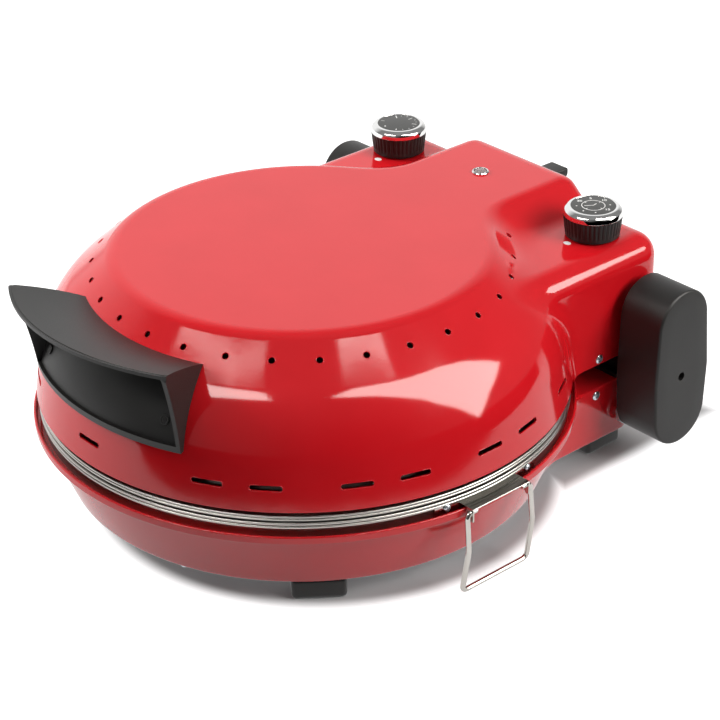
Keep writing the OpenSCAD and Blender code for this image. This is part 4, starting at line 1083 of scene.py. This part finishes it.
# ---------------------------------------------------------------- rear rest
# Moulded black prop, screwed to the back of the control box. With the lid open it comes down on
# the worktop and holds the lid just past upright.
rest_half = 8
rest_top = 152
rest_reach = 31.8
rest_plate_half = 12
rest_plate_foot = 122
rest_side = soften([(box_rear + 1, rest_top, 0), (box_rear + rest_reach, rest_top, 2.5),
                    (box_rear + rest_reach - 0.4, rest_top - 5.5, 2.5), (box_rear + 20, rest_top - 15, 6),
                    (box_rear + 1, rest_top - 22, 0)], 10)
rest_plate = soften([(-rest_plate_half, rest_plate_foot, 2), (rest_plate_half, rest_plate_foot, 2),
                     (rest_plate_half, rest_top, 2), (-rest_plate_half, rest_top, 2)])
rest_mesh = merge("rear_rest", [
    (rest_side, Matrix(((0, 0, 1, -rest_half), (1, 0, 0, 0), (0, 1, 0, 0), (0, 0, 0, 1))), 2 * rest_half),
    (rest_plate, Matrix(((1, 0, 0, 0), (0, 0, 1, box_rear + 0.05), (0, 1, 0, 0), (0, 0, 0, 1))), 3)], 1.0)
for vertex in rest_mesh.vertices:
    out = max(0, vertex.co.y - box_rear - 3) / 31
    vertex.co.y -= 2.5 * (vertex.co.x / rest_half) ** 4 * out
rear_rest = link_piece("rear_rest_moulded", rest_mesh, "lid", black_plastic)
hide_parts("rear_rest")
pan_screws("rest_screws", "lid", "rear_rest_screws", 3.0, 7,
           [((s * rest_half, box_rear + 3, rest_plate_foot + 6), (0, 1, 0), 25) for s in (1, -1)])

# ---------------------------------------------------------------- controls
# Thermostat and timer, bought-in switch bodies that hang under the control box's top. Their plated
# steel shafts come up through it and carry the knobs. The element's terminal block is phenolic too.
phenolic, tree, shader = nodes_of("phenolic", {"Roughness": 0.45})
tint_by(tree, shader, noise_in(tree, 700, 5), (0.10, 0.045, 0.02), (0.22, 0.10, 0.05),
        (0.35, 0.65))
dress(phenolic, "thermostat_body", "lower_terminal_block")
dress(zinc_steel, "timer_body", "thermostat_shaft", "timer_shaft")

# ---------------------------------------------------------------- knobs
# Moulded ribbed grips pushed on the shafts, each with a chromed ring round a dial plate. Ticks and
# figures are printed white on the dials, and an index dot on the box beside each knob.
ribs = 40
dial_top = 174.3
index_inset = 2.0
index_y = 150.3
grip_rows = [(154.0, 0.0, 0.0), (154.0, 17.6, 0.0), (154.3, 18.2, 0.0), (156.6, 18.5, 0.0),
             (157.4, 18.6, 0.45), (158.4, 18.75, 0.62), (166.9, 19.75, 0.62), (168.0, 19.9, 0.5),
             (168.45, 19.9, 0.2), (168.45, 14.6, 0.0), (173.4, 14.4, 0.0), (173.4, 0.0, 0.0)]
chrome, tree, shader = nodes_of("chrome", {"Base Color": (0.88, 0.88, 0.87, 1), "Metallic": 1})
gloss_by(tree, shader, noise_in(tree, 300), 0.02, 0.07)

dial_face, tree, shader = nodes_of("dial_face", {"Roughness": 0.32})
tint_by(tree, shader, noise_in(tree, 900), (0.024, 0.024, 0.022), (0.036, 0.036, 0.033))

white_print, tree, shader = nodes_of("white_print", {"Roughness": 0.5})
tint_by(tree, shader, noise_in(tree, 1500), (0.62, 0.61, 0.59), (0.84, 0.83, 0.81))
for name, (x, y) in knob_axes.items():
    stand = Matrix.Translation((x - math.copysign(index_inset, x), index_y, 0))
    mesh = lathe("index", [(0, 152.6, 0), (0, 153.25, 0), (2.6, 153.25, 0.15), (2.6, 152.6, 0)], 48,
                 stand=stand @ Matrix.Diagonal((1.05, 0.85, 1, 1)))
    mark = link_piece(name + "_index", mesh, "lid", white_print)
    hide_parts("index_marks")


print_half = 0.03


def figure(text, radius, angle):
    """A printed numeral at a radius, and at an angle clockwise from the dial's top."""
    curve = bpy.data.curves.new("figure", "FONT")
    curve.body = text
    curve.size = 3.6
    curve.align_x = "CENTER"
    curve.align_y = "CENTER"
    curve.extrude = print_half
    curve.offset = 0.06
    holder = bpy.data.objects.new("figure", curve)
    scene.collection.objects.link(holder)
    bpy.context.view_layer.update()
    mesh = bpy.data.meshes.new_from_object(holder.evaluated_get(bpy.context.evaluated_depsgraph_get()))
    bpy.data.objects.remove(holder)
    t = math.radians(angle)
    mesh.transform(Matrix.Translation((radius * math.sin(t), radius * math.cos(t), 0)))
    return mesh


def bar(low, high, half, angle):
    """A printed stroke from radius low to high, at an angle clockwise from the dial's top."""
    end = half * 0.9
    outline = soften([(-half, low, end), (half, low, end), (half, high, end), (-half, high, end)], 30)
    mesh = merge("bar", [(outline, Matrix.Translation((0, 0, -print_half)), 2 * print_half)])
    mesh.transform(round_body(-angle))
    return mesh


ring_print = lathe("ring_print", [(7.45, -print_half, 0), (7.95, -print_half, 0),
                                  (7.95, print_half, 0), (7.45, print_half, 0)], 96)
prints = {
    "timer": [ring_print, bar(-0.2, 6.0, 0.3, -92), bar(-0.2, 3.6, 0.34, 40),
              figure("30", 11.1, -50), figure("5", 11.0, -4), figure("10", 11.0, 46),
              figure("15", 11.0, 128)]
    + [bar(6.1, 7.5, 0.28, a) for a in (45, 135, 225, 315)]
    + [bar(10.6, 11.7, 0.5, a) for a in (88, 178, 222, 268)],
    "thermostat": [bar(8.6, 13.2, 0.3, -8), bar(9.2, 13.0, 0.22, 50), bar(9.6, 13.0, 0.26, 104),
                   bar(10.8, 13.2, 0.3, 190), bar(10.8, 12.0, 0.55, 240), bar(10.8, 13.2, 0.22, 290)]
    + [bar(11.9, 13.2, 0.16, a) for a in (10, 30, 68, 86, 124, 146, 168)]}
dial_turn = round_body(48.8)
for name, (x, y) in knob_axes.items():
    around = full_turn(ribs * 12)
    groove = (0.5 + 0.5 * np.cos(around * ribs)) ** 2
    rows = []
    for z, radius, depth in grip_rows:
        r = radius - depth * groove
        rows.append(np.stack([x + r * np.cos(around), y + r * np.sin(around), np.full(len(r), z)], 1))
    control = name + "_control"
    grip = link_piece(name + "_grip", close_rings("grip", rows, closed=False, sharp=50), control,
                      black_plastic)
    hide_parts(name + "_knob")
    stand = Matrix.Translation((x, y, 0))
    mesh = lathe("knob_ring", [(15.0, 172.6, 0), (15.0, 174.5, 0.35), (17.0, 174.4, 2.0), (19.4, 172.2, 2.6),
                               (20.0, 168.5, 0.4), (14.4, 168.5, 0)], 160, stand=stand)
    ring = link_piece(name + "_ring", mesh, control, chrome)
    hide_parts(name + "_knob_ring")
    mesh = lathe("dial", [(0, 173.45, 0), (0, dial_top, 0), (14.95, dial_top, 0.15), (14.95, 173.45, 0)],
                 96, stand=stand)
    dial = link_piece(name + "_dial_plate", mesh, control, dial_face)
    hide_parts(name + "_dial")
    work = bmesh.new()
    for mesh in prints[name]:
        work.from_mesh(mesh)
    mesh = done_mesh(work, "dial_print")
    mesh.transform(stand @ Matrix.Translation((0, 0, dial_top + 0.02)) @ dial_turn)
    link_piece(name + "_dial_print", mesh, control, white_print)

# ---------------------------------------------------------------- indicator lamp
# Neon lamp on the tongue: a chromed bezel pressed into the sheet round a clear faceted lens, with
# the frosted lamp itself below.
lamp_at = Matrix.Translation((0, 161.0, 0))
mesh = lathe("bezel", [(4.6, 170.4, 0), (4.6, 171.7, 0.2), (5.2, 172.0, 0.25), (6.0, 171.1, 0.4),
                       (6.0, 170.4, 0.1)], 64, stand=lamp_at)
bezel = link_piece("lamp_bezel", mesh, "lid", chrome)
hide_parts("indicator_bezel")
lens_glass, tree, shader = nodes_of("lens_glass", {"Roughness": 0.12, "Transmission Weight": 0.35})
facets = node_in(tree, "ShaderNodeTexVoronoi", {"Scale": 1100, "Vector": on_piece(tree)})["Distance"]
tint_by(tree, shader, facets, (0.52, 0.47, 0.45), (0.20, 0.15, 0.14))
relief_by(tree, shader, facets, 0.8, 0.0004)
mesh = lathe("lens", [(0, 170.4, 0), (0, 172.7, 0), (2.6, 172.45, 2), (4.2, 171.5, 1.2),
                      (4.55, 170.4, 0)], 64, stand=lamp_at)
lens = link_piece("lamp_lens_cap", mesh, "lid", lens_glass)
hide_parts("indicator_lens")
lamp_glass, tree, shader = nodes_of("lamp_glass", {"Roughness": 0.3})
tint_by(tree, shader, noise_in(tree, 400), (0.60, 0.50, 0.42), (0.80, 0.74, 0.66))
dress(lamp_glass, "indicator_lamp")
